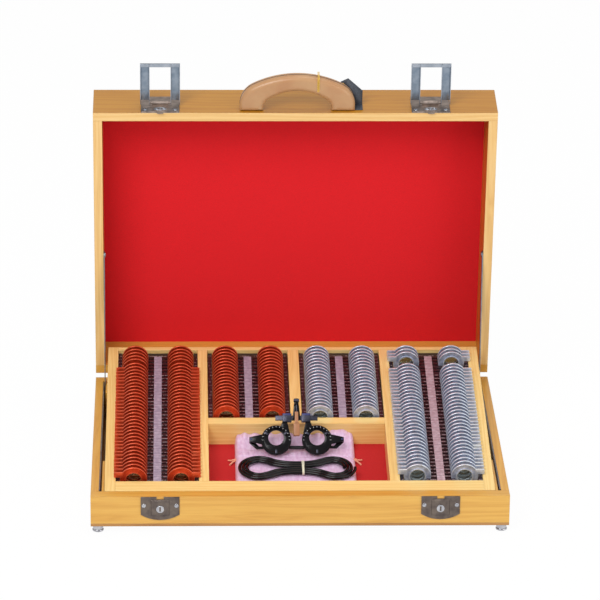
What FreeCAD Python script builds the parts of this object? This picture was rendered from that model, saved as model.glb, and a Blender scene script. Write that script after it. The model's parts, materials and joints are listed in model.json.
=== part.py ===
import FreeCAD, Part
import math
import os

# Trial lens case, standing open, with its lens tray, lenses and accessories. Sizes in millimetres.
# X points right, Y to the rear and Z up. The origin lies on the plane under the feet, in the middle of
# the open case's length and width. The shapes are drawn about the middle of the base and then moved there.

Vector = FreeCAD.Vector

# Box
CASE_W = 580.0
CASE_D = 427.0
BASE_H = 45.0
PANEL_T = 4.0
FRONT_WALL_T = 18.0
SIDE_WALL_T = 11.0
REAR_WALL_T = 13.0
LID_H = 77.0
LID_WALL_T = 13.0
LID_FELT_T = 1.5
CLEARANCE = 0.3
PIN_CLEARANCE = 0.05

# Feet
FOOT_H = 10.0
FOOT_D = 16.0
FOOT_NECK_D = 14.4
FOOT_RIM_H = 3.0
FOOT_INSET_X = 10.0
FOOT_INSET_Y = 9.0

# Hinges, on the rear face
LID_OPEN = 83.0
HINGE_BACK = 5.0
HINGE_INSET = 105.0
HINGE_W = 76.0
HINGE_LEAF_H = 26.0
HINGE_LEAF_T = 1.5
HINGE_LEAF_DROP = 3.0
HINGE_MIDDLE_W = 26.0
HINGE_WEB_H = 4.0
HINGE_PIN_D = 3.0

# Folding stays, between the lid's sides and the tracks on the base's sides
STAY_END_ROOM = 22.0
STAY_DIFFERENCE = 5.0
STAY_LIFT_ANGLE = 1.72
STAY_DROP_ANGLE = 4.2
STAY_BAR_W = 12.0
STAY_BAR_T = 1.4
STAY_BAR_INSET = 0.3
STAY_RIVET_D = 4.0
STAY_HEAD_D = 8.0
STAY_HEAD_T = 1.0
TRACK_T = 1.9
TRACK_MARGIN = 3.0
TRACK_END = 5.3
STAY_SLOT_W = 8.0
STAY_STEPS = 40
FILLER_T = 3.6
FILLER_FRONT_L = 104.0
FILLER_REAR_L = 47.0

# Lens tray, an insert whose top rises to the rear
TRAY_LAP = 1.0
TRAY_REAR_GAP = 2.7
TRAY_RISE = 54.3
FRONT_RAIL = 27.0
REAR_RAIL = 9.0
REAR_RAIL_DEPTH = 30.0
CENTRE_RAIL = 16.0
DIVIDER = 14.0
TRAY_SIDE_W = 15.0
BAY_DIFFERENCE = 2.0
CROSS_RAIL_S = 180.0
CROSS_RAIL = 17.0
FLOOR_T = 3.0
COMPARTMENT_DEPTH = 34.0
FELT_T = 1.5

# Trial lenses
LENS_D = 38.0
LENS_RISE = 17.0
RIM_T = 2.4
ROW_MARGIN = 6.0
PITCH = 9.27
INNER_PITCH = 8.95
REAR_LENS = 16.5
LEFT_REAR_COUNT = 5
LEFT_FRONT_GAP = 8.6
RIGHT_REAR_COUNT = 3
RIGHT_EMPTY_COUNT = 2
RIGHT_FRONT_GAP = 15.3
INNER_FRONT_GAP = 5.0
TAB_REACH = 27.5
TAB_H = 8.0
TAB_RISE = 1.0
APERTURE_D = 21.0
BEAD_W = 2.0
BEAD_PROUD = 0.6
GLASS_T = 1.6
RING_SIDES = 14
SMALL_SIDES = 8

# Lens racks and power strips
RACK_HOLD = 6.0
RACK_TOP = 5.5
BAR_W = 5.7
STRIP_W = 11.0
STRIP_T = 0.8
STRIP_END = 11.0

# Locks on the base's front
LATCH_INSET = 96.0
PLATE_T = 1.4
LOCK_W = 53.5
LOCK_H = 34.9
LOCK_SIDE_H = 27.0
NOTCH_W = 10.0
NOTCH_H = 4.0
HOUSING_W = 26.0
HOUSING_H = 25.0
HOUSING_T = 1.4
HOUSING_BEVEL = 1.2
PLUG_D = 11.0
PLUG_DROP = 18.0
PLUG_LENGTH = 14.0
PLUG_PROUD = 0.6
KEYWAY_W = 4.0
KEYWAY_H = 8.0
KEYWAY_DEPTH = 6.0
SCREW_X = 22.5
SCREW_DROP = 13.5
SCREW_HEAD_D = 6.0
SCREW_HEAD_T = 0.8

# Hasps on the lid's front
LATCH_PLATE_W = 55.0
LATCH_PLATE_H = 52.0
LATCH_PLATE_T = 1.2
TONGUE_H = 3.0
BOSS_W = 23.5
BOSS_R = 3.2
AXLE_D = 3.0
AXLE_UP = 25.0
AXLE_OUT = 4.5
HASP_W = 57.0
HASP_LENGTH = 61.0
HASP_WINDOW_W = 30.0
HASP_BAR = 5.0
HASP_DEPTH = 5.0
HASP_SHEET = 1.0
HASP_SHORT = 3.0
HASP_EAR = 1.9

# Handle and the tag tied to it
HANDLE_X = 2.5
HANDLE_W = 165.0
HANDLE_H = 54.0
HANDLE_FLANK_R = 34.0
HANDLE_SPRING = 8.0
HANDLE_GAP_W = 97.0
HANDLE_GAP_H = 30.5
HANDLE_GAP_FLANK_R = 16.0
HANDLE_GAP_SPRING = 4.0
HANDLE_DEPTH = 22.0
HANDLE_UP = 4.0
HANDLE_ROUND = 4.0
TAG_W = 11.0
TAG_H = 42.0
TAG_LOW_H = 23.0
TAG_LEAN_X = 21.0
TAG_T = 0.8
TAG_FOLD = 17.0

# Pouch, cord hank and its tie in the accessory compartment
POUCH_LEFT = -88.0
POUCH_RIGHT = 82.0
POUCH_FRONT = 60.0
POUCH_T = 10.5
POUCH_EDGE = 5.0
POUCH_CROWN = 12.0
POUCH_REAR_RISE = 15.0
CORD_D = 4.6
CORD_PITCH = 5.2
CORD_TURNS = 3
CORD_HALF = 2.0
CORD_BEND = 15.0
HANK_X = -1.0
HANK_S = 93.0
HANK_LOBE_X = 53.5
HANK_LOBE_R = 28.0
HANK_WAIST = 13.2
TIE_W = 3.6
TIE_T = 1.0
TIE_X = 7.0

# Trial frame, leaning back on the pouch
FRAME_X = -1.0
FRAME_S = 129.0
FRAME_LEAN = 45.0
CELL_X = 29.0
CELL_V = 21.5
CELL_D = 43.0
CELL_SEAT_D = 35.0
CELL_HOLE_D = 22.0
CELL_HOLE_UP = 4.0
CELL_T = 6.0
BAR_V = 54.0
FRAME_BAR_H = 7.0
FRAME_BAR_T = 3.0
FRAME_BAR_L = 60.0
SLIDE_X = 7.0
SLIDE_W = 13.0
SLIDE_H = 12.0
SLIDE_T = 7.0
SLIDE_PLAY = 0.1
UPRIGHT_W = 7.0
ARM_X = 67.0
ARM_V = 23.0
ARM_ROOT_H = 15.0
ARM_TIP_H = 6.0
ARM_T = 3.0
BRACKET_FOOT_X = 6.0
BRACKET_LEG_W = 3.0
BRACKET_TOP_X = 3.2
BRACKET_TOP_V = 76.0
BRACKET_T = 1.5
BRACKET_HEAD_H = 4.0
SPINDLE_D = 2.2
SPINDLE_N = 5.0
KNOB_D = 8.0
KNOB_H = 4.5
KNOB_RIBS = 10
KNOB_RIB_DEPTH = 0.4
NOSE_W = 9.0
NOSE_V = 27.0
NOSE_H = 20.0
NOSE_TRAVEL = 5.0
NOSE_T = 7.0
STEM_W = 5.0
STEM_T = 3.4
STEM_TOP_V = 62.0
TEMPLE_W = 4.0
TEMPLE_T = 1.6
TEMPLE_CROSS_X = 20.0
TEMPLE_HOOK_V = 22.0
TEMPLE_V = 13.0
TEMPLE_STEP = 3.0

# Places that follow from the sizes
FRONT = -CASE_D / 2
REAR = CASE_D / 2
SIDE = CASE_W / 2
FLOOR = FOOT_H + PANEL_T
MATE = FOOT_H + BASE_H
LID_MATE = MATE + CLEARANCE
HINGE_Y = REAR + HINGE_BACK
HINGE_AXIS = Vector(0, HINGE_Y, MATE)
X_AXIS = Vector(1, 0, 0)
Y_AXIS = Vector(0, 1, 0)
LID_TOP = MATE + LID_H
LID_INSIDE = SIDE - LID_WALL_T
TRAY_HALF = SIDE - SIDE_WALL_T - STAY_SLOT_W
TRAY_Y = FRONT + FRONT_WALL_T - TRAY_LAP
TRAY_REAR_Y = REAR - REAR_WALL_T - TRAY_REAR_GAP
SLOPE = math.atan2(TRAY_RISE, TRAY_REAR_Y - TRAY_Y)
TRAY_LENGTH = (TRAY_REAR_Y - TRAY_Y) / math.cos(SLOPE)
TRAY_FRONT_S = (TRAY_LAP + CLEARANCE) / math.cos(SLOPE)
BAY_REAR = TRAY_LENGTH - REAR_RAIL
INNER_FRONT = CROSS_RAIL_S + CROSS_RAIL
INNER_EDGE = CENTRE_RAIL / 2
OUTER_OUT = TRAY_HALF - TRAY_SIDE_W
BAYS_W = OUTER_OUT - INNER_EDGE - DIVIDER
INNER_BAY_W = (BAYS_W + BAY_DIFFERENCE) / 2
OUTER_BAY_W = (BAYS_W - BAY_DIFFERENCE) / 2
INNER_OUT = INNER_EDGE + INNER_BAY_W
OUTER_EDGE = INNER_OUT + DIVIDER
INNER_BAY_X = INNER_EDGE + INNER_BAY_W / 2
OUTER_BAY_X = OUTER_EDGE + OUTER_BAY_W / 2
LENS_R = LENS_D / 2
ROW_X = OUTER_BAY_W / 2 - ROW_MARGIN - LENS_R
LATCH_X = SIDE - LATCH_INSET
HINGE_X = SIDE - HINGE_INSET
STAY_RADIUS = (CASE_D - STAY_END_ROOM - STAY_DIFFERENCE) / 2
STAY_LENGTH = STAY_RADIUS + STAY_DIFFERENCE
LENS_T = LENS_RISE - LENS_R
BAY_DEPTH = LENS_R - LENS_T + CLEARANCE
POUCH_TOP = -COMPARTMENT_DEPTH + POUCH_T
LOCK_FACE = FRONT - PLATE_T - HOUSING_T - PLUG_PROUD
LID_BACK = (HINGE_Y + LID_H * math.sin(math.radians(LID_OPEN))
            - HINGE_BACK * math.cos(math.radians(LID_OPEN)))
OPEN_MIDDLE = (LOCK_FACE + LID_BACK) / 2
HANK_T = POUCH_TOP + 2 * CLEARANCE + TIE_T + CORD_D / 2


def box(x0, x1, y0, y1, z0, z1):
    return Part.makeBox(x1 - x0, y1 - y0, z1 - z0, Vector(x0, y0, z0))


def prism(points, reach):
    """Solid between a polygon and its copy moved by reach."""
    return Part.Face(Part.makePolygon(points + points[:1])).extrude(reach)


def prism_x(outline, x0, x1):
    """Solid with an outline of (y, z) points between two x."""
    return prism([Vector(x0, y, z) for y, z in outline], Vector(x1 - x0, 0, 0))


def prism_y(outline, y0, y1):
    """Solid with an outline of (x, z) points between two y."""
    return prism([Vector(x, y0, z) for x, z in outline], Vector(0, y1 - y0, 0))


def prism_z(outline, z0, z1):
    """Solid with an outline of (x, y) points between two z."""
    return prism([Vector(x, y, z0) for x, y in outline], Vector(0, 0, z1 - z0))


def rod(x, y, z, direction, radius, length):
    return Part.makeCylinder(radius, length, Vector(x, y, z), direction)


def polygon(radius, x=0.0, height=0.0, sides=RING_SIDES):
    """Corners of a regular polygon about a centre."""
    turn = 2 * math.pi / sides
    return [(x + radius * math.cos(i * turn), height + radius * math.sin(i * turn)) for i in range(sides)]


def mirrored(shape):
    return shape.mirror(Vector(0, 0, 0), X_AXIS)


def both_sides(shapes):
    return shapes + [mirrored(shape) for shape in shapes]


def moved(shape, x):
    copy = shape.copy()
    copy.translate(Vector(x, 0, 0))
    return copy


def placed(shape, placement):
    copy = shape.copy()
    copy.Placement = placement.multiply(copy.Placement)
    return copy


def save(name, solids):
    shape = solids[0].copy() if len(solids) == 1 else Part.makeCompound(solids)
    shape.translate(Vector(0, -OPEN_MIDDLE, 0))
    shape.exportStep("parts/%s.step" % name)


# Tray frame: X across, s up the slope from the front, t square to the tray's top plane.
TRAY_FRAME = FreeCAD.Placement(Vector(0, TRAY_Y, MATE), FreeCAD.Rotation(X_AXIS, math.degrees(SLOPE)))

# Lid frame: the lid is drawn shut and then swung open about the hinge axis.
LID_SWING = FreeCAD.Placement(Vector(0, 0, 0), FreeCAD.Rotation(X_AXIS, -LID_OPEN), HINGE_AXIS)

# Trial frame's own frame: X across, v up its front, n out of its front.
FRAME_SEAT = TRAY_FRAME.multiply(FreeCAD.Placement(
    Vector(FRAME_X, FRAME_S, POUCH_TOP + CLEARANCE + CELL_T / 2 * math.sin(math.radians(FRAME_LEAN))),
    FreeCAD.Rotation(X_AXIS, FRAME_LEAN)))


def on_tray(shape):
    return placed(shape, TRAY_FRAME)


def on_lid(shape):
    return placed(shape, LID_SWING)


def on_frame(shape):
    return placed(shape, FRAME_SEAT)


def tray_point(s, t):
    """Tray coordinates s and t as (y, z) of the case."""
    return (TRAY_Y + s * math.cos(SLOPE) - t * math.sin(SLOPE),
            MATE + s * math.sin(SLOPE) + t * math.cos(SLOPE))


def floor_drop(s):
    """The t at which a line square to the tray's top at s meets the bottom panel."""
    return (FLOOR - MATE - s * math.sin(SLOPE)) / math.cos(SLOPE)


# Box of the case

def build_base():
    front_inside = FRONT + FRONT_WALL_T
    rear_inside = REAR - REAR_WALL_T
    front = box(-SIDE, SIDE, FRONT, front_inside, FLOOR, MATE)
    bores = []
    for side in (-1, 1):
        x = side * LATCH_X
        bores.append(rod(x, FRONT, MATE - PLUG_DROP, Y_AXIS, PLUG_D / 2 + CLEARANCE, PLUG_LENGTH))
    save("base_front_wall", [front.cut(bores)])
    save("base_rear_wall", [box(-SIDE, SIDE, rear_inside, REAR, FLOOR, MATE)])
    right = box(SIDE - SIDE_WALL_T, SIDE, front_inside, rear_inside, FLOOR, MATE)
    save("base_side_right", [right])
    save("base_side_left", [mirrored(right)])
    save("base_bottom", [box(-SIDE, SIDE, FRONT, REAR, FOOT_H, FLOOR)])

    fillers = [(front_inside, front_inside + FILLER_FRONT_L), (rear_inside - FILLER_REAR_L, rear_inside)]
    filler_x = TRAY_HALF + CLEARANCE
    save("slot_fillers", both_sides([box(filler_x, filler_x + FILLER_T, y0, y1, FLOOR, MATE)
                                     for y0, y1 in fillers]))


def build_feet():
    """Turned feet: a neck over a wider rim."""
    foot = prism_z(polygon(FOOT_D / 2), 0, FOOT_RIM_H).fuse(prism_z(polygon(FOOT_NECK_D / 2), 0, FOOT_H))
    feet = []
    for x in (-SIDE + FOOT_INSET_X, SIDE - FOOT_INSET_X):
        for y in (FRONT + FOOT_INSET_Y, REAR - FOOT_INSET_Y):
            copy = foot.copy()
            copy.translate(Vector(x, y, 0))
            feet.append(copy)
    save("feet", feet)


# Lens tray

def tray_wall(s0, s1, x0, x1):
    """Wall of the tray, square to its top plane, down to the bottom panel."""
    return prism_x([tray_point(s0, floor_drop(s0)), tray_point(s0, 0), tray_point(s1, 0),
                    tray_point(s1, floor_drop(s1))], x0, x1)


def tray_divider(s0, s1, x0, x1):
    """Lengthwise wall whose rear end is upright below the rear rail."""
    knee = tray_point(s1, -REAR_RAIL_DEPTH)
    return prism_x([tray_point(s0, floor_drop(s0)), tray_point(s0, 0), tray_point(s1, 0), knee,
                    (knee[0], FLOOR)], x0, x1)


def build_tray():
    rear_top = tray_point(TRAY_LENGTH, 0)
    side = prism_x([tray_point(TRAY_FRONT_S, floor_drop(TRAY_FRONT_S)), tray_point(TRAY_FRONT_S, 0),
                    rear_top, (rear_top[0], FLOOR)], OUTER_OUT, TRAY_HALF)
    save("tray_sides", both_sides([side]))
    save("tray_front_rail", [tray_wall(TRAY_FRONT_S, FRONT_RAIL, -OUTER_OUT, OUTER_OUT)])
    rail_foot = tray_point(BAY_REAR, -REAR_RAIL_DEPTH)
    rail = prism_x([tray_point(BAY_REAR, 0), rear_top, (rear_top[0], rail_foot[1]), rail_foot],
                   -OUTER_OUT, OUTER_OUT)
    save("tray_rear_rail", [rail])
    dividers = both_sides([tray_divider(FRONT_RAIL, BAY_REAR, INNER_OUT, OUTER_EDGE)])
    dividers.append(tray_divider(INNER_FRONT, BAY_REAR, -INNER_EDGE, INNER_EDGE))
    save("tray_dividers", dividers)
    save("tray_cross_panel", [tray_divider(CROSS_RAIL_S, INNER_FRONT, -INNER_OUT, INNER_OUT)])

    bay_floors = both_sides([
        box(OUTER_EDGE, OUTER_OUT, FRONT_RAIL, BAY_REAR, -BAY_DEPTH - FLOOR_T, -BAY_DEPTH),
        box(INNER_EDGE, INNER_OUT, INNER_FRONT, BAY_REAR, -BAY_DEPTH - FLOOR_T, -BAY_DEPTH)])
    board_top = -COMPARTMENT_DEPTH - FELT_T
    board = box(-INNER_OUT, INNER_OUT, FRONT_RAIL, CROSS_RAIL_S, board_top - FLOOR_T, board_top)
    save("tray_floor", [on_tray(floor) for floor in bay_floors + [board]])
    felt = box(-INNER_OUT, INNER_OUT, FRONT_RAIL, CROSS_RAIL_S, board_top, -COMPARTMENT_DEPTH)
    save("compartment_felt", [on_tray(felt)])


# Lenses and racks

def front_group(front_s, rear_places):
    """Tabbed lenses from the front of an outer row up to one pitch before its rear places, rear one first."""
    count = int((rear_places[-1] - PITCH - front_s) / PITCH) + 1
    return [(front_s + i * PITCH, True) for i in reversed(range(count))]


def left_row():
    """Places along the slope of an outer left row, rear group first, as (s, has a tab)."""
    rear = [BAY_REAR - REAR_LENS - i * PITCH for i in range(LEFT_REAR_COUNT)]
    return [(s, False) for s in rear] + front_group(FRONT_RAIL + LEFT_FRONT_GAP, rear)


def right_places():
    """Rear places of an outer right row, of which the last ones stay empty."""
    return [BAY_REAR - REAR_LENS - i * PITCH for i in range(RIGHT_REAR_COUNT + RIGHT_EMPTY_COUNT)]


def right_row():
    places = right_places()
    return ([(s, True) for s in places[:RIGHT_REAR_COUNT]]
            + front_group(FRONT_RAIL + RIGHT_FRONT_GAP, places))


def right_empty_slots():
    return right_places()[RIGHT_REAR_COUNT:]


def inner_row():
    rear_s = BAY_REAR - REAR_LENS
    count = int((rear_s - INNER_FRONT - INNER_FRONT_GAP) / INNER_PITCH) + 1
    return [(rear_s - i * INNER_PITCH, False) for i in range(count)]


def tab_corners():
    """Corners of a tab that points right, from the lens centre, lower root first."""
    low = TAB_RISE - LENS_T
    high = low + TAB_H
    return [(math.sqrt(LENS_R ** 2 - low ** 2), low), (TAB_REACH, low), (TAB_REACH, high),
            (math.sqrt(LENS_R ** 2 - high ** 2), high)]


def lens_outline(tab_side):
    """Coarse outline of a stored lens: its shown upper half is rounder than the sunk lower half."""
    start = tab_corners() if tab_side else [(LENS_R, 0)]
    angles = [90, 135, 180, 270] if tab_side else [45, 90, 135, 180, 270]
    points = start + [(LENS_R * math.cos(a), LENS_R * math.sin(a)) for a in map(math.radians, angles)]
    if tab_side < 0:
        points = [(-x, t) for x, t in points]
    return points


def stored_lens(x, s, tab_side):
    outline = [(x + dx, LENS_T + dt) for dx, dt in lens_outline(tab_side)]
    return prism_y(outline, s - RIM_T / 2, s + RIM_T / 2)


def front_lens(x, s, tab_side):
    """The foremost lens of a row, whole: rim with its tab, raised bead round the aperture, and glass."""
    half = RIM_T / 2
    hole_r = APERTURE_D / 2
    rim = prism_y(polygon(LENS_R), -half, half)
    if tab_side:
        tab = prism_y(tab_corners(), -half, half)
        rim = rim.fuse(tab if tab_side > 0 else mirrored(tab)).removeSplitter()
    bead = prism_y(polygon(hole_r + BEAD_W), -half - BEAD_PROUD, half)
    rim = rim.fuse(bead).cut(prism_y(polygon(hole_r), -LENS_R, LENS_R))
    glass = prism_y(polygon(hole_r), -GLASS_T / 2, GLASS_T / 2)
    seat = FreeCAD.Placement(Vector(x, s, LENS_T), FreeCAD.Rotation())
    return [on_tray(placed(piece, seat)) for piece in (rim, glass)]


def rack(bay_x, front_s, places):
    """Slotted comb in the middle of a bay, and the plain bar at each side of the bay."""
    half = ROW_X - LENS_R + RACK_HOLD
    lens_gap = ROW_X - half
    slot_floor = LENS_T - math.sqrt(LENS_R ** 2 - lens_gap ** 2) - CLEARANCE
    comb = box(bay_x - half, bay_x + half, front_s, BAY_REAR, -BAY_DEPTH, -RACK_TOP)
    cuts = []
    for s in places:
        y0 = s - RIM_T / 2 - CLEARANCE
        y1 = s + RIM_T / 2 + CLEARANCE
        cuts.append(box(bay_x - half, bay_x + half, y0, y1, slot_floor, 0))
    solids = [comb.cut(cuts)]
    edge = ROW_X + LENS_R + CLEARANCE
    for side in (-1, 1):
        inner = bay_x + side * edge
        outer = inner + side * BAR_W
        solids.append(box(min(inner, outer), max(inner, outer), front_s, BAY_REAR, -BAY_DEPTH, -RACK_TOP))
    return solids


def build_lenses():
    bays = [("lens_rows_left", -OUTER_BAY_X, FRONT_RAIL, left_row(), []),
            ("lens_rows_mid_left", -INNER_BAY_X, INNER_FRONT, inner_row(), []),
            ("lens_rows_mid_right", INNER_BAY_X, INNER_FRONT, inner_row(), []),
            ("lens_rows_right", OUTER_BAY_X, FRONT_RAIL, right_row(), right_empty_slots())]
    racks = []
    strips = []
    number = 0
    for name, bay_x, front_s, row, empty in bays:
        lenses = []
        for side in (-1, 1):
            x = bay_x + side * ROW_X
            for s, tab in row[:-1]:
                lenses.append(stored_lens(x, s, side if tab else 0))
            number += 1
            s, tab = row[-1]
            save("front_lens_%d" % number, front_lens(x, s, side if tab else 0))
        save(name, [on_tray(lens) for lens in lenses])
        racks += rack(bay_x, front_s, [s for s, tab in row] + empty)
        strips.append(box(bay_x - STRIP_W / 2, bay_x + STRIP_W / 2, front_s + CLEARANCE, BAY_REAR - STRIP_END,
                          -RACK_TOP, STRIP_T - RACK_TOP))
    save("lens_racks", [on_tray(solid) for solid in racks])
    save("power_strips", [on_tray(strip) for strip in strips])


# Locks

def lock_plate():
    """Plate with a notch in its top edge, a bowed lower edge and a raised housing round the key plug."""
    half = LOCK_W / 2
    notch = NOTCH_W / 2
    corners = [(-half, MATE - LOCK_SIDE_H), (-half, MATE), (-notch, MATE), (-notch, MATE - NOTCH_H),
               (notch, MATE - NOTCH_H), (notch, MATE), (half, MATE), (half, MATE - LOCK_SIDE_H)]
    points = [Vector(x, FRONT, z) for x, z in corners]
    edges = [Part.makeLine(a, b) for a, b in zip(points, points[1:])]
    edges.append(Part.Arc(points[-1], Vector(0, FRONT, MATE - LOCK_H), points[0]).toShape())
    plate = Part.Face(Part.Wire(edges)).extrude(Vector(0, -PLATE_T, 0))
    outer = HOUSING_W / 2
    face = outer - HOUSING_BEVEL
    low = MATE - NOTCH_H - HOUSING_H
    high = MATE - NOTCH_H
    back = Part.makePolygon([Vector(x, FRONT - PLATE_T, z) for x, z in
                             [(-outer, low), (outer, low), (outer, high), (-outer, high), (-outer, low)]])
    front = Part.makePolygon([Vector(x, FRONT - PLATE_T - HOUSING_T, z) for x, z in
                              [(-face, low + HOUSING_BEVEL), (face, low + HOUSING_BEVEL),
                               (face, high - HOUSING_BEVEL), (-face, high - HOUSING_BEVEL),
                               (-face, low + HOUSING_BEVEL)]])
    housing = Part.makeLoft([back, front], True, True)
    solid = plate.fuse(housing)
    return solid.cut(rod(0, FRONT, MATE - PLUG_DROP, -Y_AXIS, PLUG_D / 2 + PIN_CLEARANCE, PLUG_LENGTH))


def lock_screw():
    """Raised head of a wood screw, seated on the plate."""
    seat = FRONT - PLATE_T
    return prism_y(polygon(SCREW_HEAD_D / 2, 0, MATE - SCREW_DROP, SMALL_SIDES), seat - SCREW_HEAD_T, seat)


def lock_plug():
    """Key plug with an upright keyway."""
    z = MATE - PLUG_DROP
    length = FRONT + PLUG_LENGTH - CLEARANCE - LOCK_FACE
    plug = rod(0, LOCK_FACE, z, Y_AXIS, PLUG_D / 2, length)
    keyway = box(-KEYWAY_W / 2, KEYWAY_W / 2, LOCK_FACE, LOCK_FACE + KEYWAY_DEPTH,
                 z - KEYWAY_H / 2, z + KEYWAY_H / 2)
    return plug.cut(keyway)


def build_locks():
    save("lock_plates", [moved(lock_plate(), side * LATCH_X) for side in (-1, 1)])
    save("lock_screws", [moved(lock_screw(), side * LATCH_X + screw * SCREW_X)
                         for side in (-1, 1) for screw in (-1, 1)])
    save("lock_cylinder_left", [moved(lock_plug(), -LATCH_X)])
    save("lock_cylinder_right", [moved(lock_plug(), LATCH_X)])


# Hinges

def hinge_leaf(up, knuckles):
    """Leaf on the rear face, above or below the axis, with its solid knuckles given as (x0, x1)."""
    knuckle_r = HINGE_BACK - HINGE_LEAF_T
    z0, z1 = sorted([MATE + up * HINGE_LEAF_DROP, MATE + up * (HINGE_LEAF_DROP + HINGE_LEAF_H)])
    solid = box(-HINGE_W / 2, HINGE_W / 2, REAR, REAR + HINGE_LEAF_T, z0, z1)
    web_end = HINGE_LEAF_DROP + HINGE_WEB_H / 2
    z0, z1 = sorted([MATE + up * (web_end - HINGE_WEB_H), MATE + up * web_end])
    for x0, x1 in knuckles:
        web = box(x0, x1, REAR, HINGE_Y, z0, z1)
        solid = solid.fuse([web, prism_x(polygon(knuckle_r, HINGE_Y, MATE), x0, x1)])
    return solid


def build_hinges():
    """Butt hinges. The pin is riveted into the base leaf's knuckles and turns in the lid leaf's."""
    middle = HINGE_MIDDLE_W / 2
    gap = middle + CLEARANCE
    outer = [(-HINGE_W / 2, -gap), (gap, HINGE_W / 2)]
    pin = rod(-gap, HINGE_Y, MATE, X_AXIS, HINGE_PIN_D / 2, 2 * gap)
    base_leaf = hinge_leaf(-1, outer).fuse(pin)
    bore = rod(-gap, HINGE_Y, MATE, X_AXIS, HINGE_PIN_D / 2 + PIN_CLEARANCE, 2 * gap)
    lid_leaf = hinge_leaf(1, [(-middle, middle)]).cut(bore)
    sides = (-HINGE_X, HINGE_X)
    save("hinge_base_leaves", [moved(base_leaf, x) for x in sides])
    save("hinge_lid_leaves", [on_lid(moved(lid_leaf, x)) for x in sides])


# Folding stays

def stay_rivet_point(opened):
    """Place (y, z) of the stay's rivet on the lid, with the lid open by so many degrees."""
    angle = math.radians(opened + STAY_LIFT_ANGLE)
    return (HINGE_Y - STAY_RADIUS * math.cos(angle), MATE + STAY_RADIUS * math.sin(angle))


def stay_pin_point(opened):
    """Place (y, z) of the pin that runs in the track. The bar turns back at twice the lid's rate."""
    rivet_y, rivet_z = stay_rivet_point(opened)
    angle = math.radians(opened + STAY_DROP_ANGLE)
    return (rivet_y - STAY_LENGTH * math.cos(angle), rivet_z - STAY_LENGTH * math.sin(angle))


def link(start, end, half, x0, x1):
    """Flat bar with round ends between two (y, z) points."""
    length = math.dist(start, end)
    bar = box(x0, x1, 0, length, -half, half)
    for y in (0, length):
        bar = bar.fuse(prism_x(polygon(half, y), x0, x1))
    turn = math.degrees(math.atan2(end[1] - start[1], end[0] - start[0]))
    seat = FreeCAD.Placement(Vector(0, start[0], start[1]), FreeCAD.Rotation(X_AXIS, turn))
    return placed(bar.removeSplitter(), seat)


def build_stays():
    rivet = stay_rivet_point(LID_OPEN)
    pin = stay_pin_point(LID_OPEN)
    bar_out = LID_INSIDE - STAY_BAR_INSET
    bar_in = bar_out - STAY_BAR_T
    rivet_r = STAY_RIVET_D / 2
    track_in = SIDE - SIDE_WALL_T - TRACK_T

    bar = link(rivet, pin, STAY_BAR_W / 2, bar_in, bar_out)
    bar = bar.cut(rod(bar_in - CLEARANCE, rivet[0], rivet[1], X_AXIS, rivet_r + PIN_CLEARANCE,
                      STAY_BAR_T + 2 * CLEARANCE))
    bar = bar.fuse(rod(bar_out, pin[0], pin[1], X_AXIS, rivet_r, SIDE - SIDE_WALL_T - CLEARANCE - bar_out))
    save("stay_bar_right", [bar])
    save("stay_bar_left", [mirrored(bar)])

    head_in = bar_in - CLEARANCE - STAY_HEAD_T
    stud = rod(head_in, rivet[0], rivet[1], X_AXIS, rivet_r, LID_INSIDE - head_in)
    head = prism_x(polygon(STAY_HEAD_D / 2, rivet[0], rivet[1]), head_in, head_in + STAY_HEAD_T)
    save("stay_rivets", both_sides([stud.fuse(head).removeSplitter()]))

    places = [stay_pin_point(LID_OPEN * i / STAY_STEPS) for i in range(STAY_STEPS + 1)]
    room = rivet_r + CLEARANCE
    slot = (min(y for y, z in places), max(y for y, z in places),
            min(z for y, z in places) - room, max(z for y, z in places) + room)
    plate = box(track_in, SIDE - SIDE_WALL_T, slot[0] - TRACK_END, slot[1] + TRACK_END,
                slot[2] - TRACK_MARGIN, slot[3] + TRACK_MARGIN)
    groove = box(track_in - CLEARANCE, SIDE, slot[0] - room, slot[1] + room, slot[2], slot[3])
    save("stay_tracks", both_sides([plate.cut(groove)]))


# Lid

def build_lid():
    panel_in = LID_TOP - PANEL_T
    front = box(-SIDE, SIDE, FRONT, FRONT + LID_WALL_T, LID_MATE, panel_in)
    rear = box(-SIDE, SIDE, REAR - LID_WALL_T, REAR, LID_MATE, panel_in)
    right = box(LID_INSIDE, SIDE, FRONT + LID_WALL_T, REAR - LID_WALL_T, LID_MATE, panel_in)
    felt = box(-LID_INSIDE, LID_INSIDE, FRONT + LID_WALL_T, REAR - LID_WALL_T,
               panel_in - LID_FELT_T, panel_in)
    save("lid_front_wall", [on_lid(front)])
    save("lid_rear_wall", [on_lid(rear)])
    save("lid_side_right", [on_lid(right)])
    save("lid_side_left", [on_lid(mirrored(right))])
    save("lid_panel", [on_lid(box(-SIDE, SIDE, FRONT, REAR, panel_in, LID_TOP))])
    save("lid_felt", [on_lid(felt)])


# Hasps

def latch_plate():
    """Plate on the lid's front wall with a tongue over the joint and a boss that carries the hasp's axle."""
    z = MATE + AXLE_UP
    axle_y = FRONT - AXLE_OUT
    boss = BOSS_W / 2
    axle = HASP_WINDOW_W / 2 + HASP_SHEET
    tongue = NOTCH_W / 2 - CLEARANCE
    plate = box(-LATCH_PLATE_W / 2, LATCH_PLATE_W / 2, FRONT - LATCH_PLATE_T, FRONT,
                LID_MATE, MATE + LATCH_PLATE_H)
    pieces = [box(-tongue, tongue, FRONT - LATCH_PLATE_T, FRONT - CLEARANCE, MATE - TONGUE_H, LID_MATE),
              box(-boss, boss, axle_y, FRONT - LATCH_PLATE_T / 2, z - BOSS_R, z + BOSS_R),
              prism_x(polygon(BOSS_R, axle_y, z), -boss, boss),
              rod(-axle, axle_y, z, X_AXIS, AXLE_D / 2, 2 * axle)]
    return plate.fuse(pieces).removeSplitter()


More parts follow.
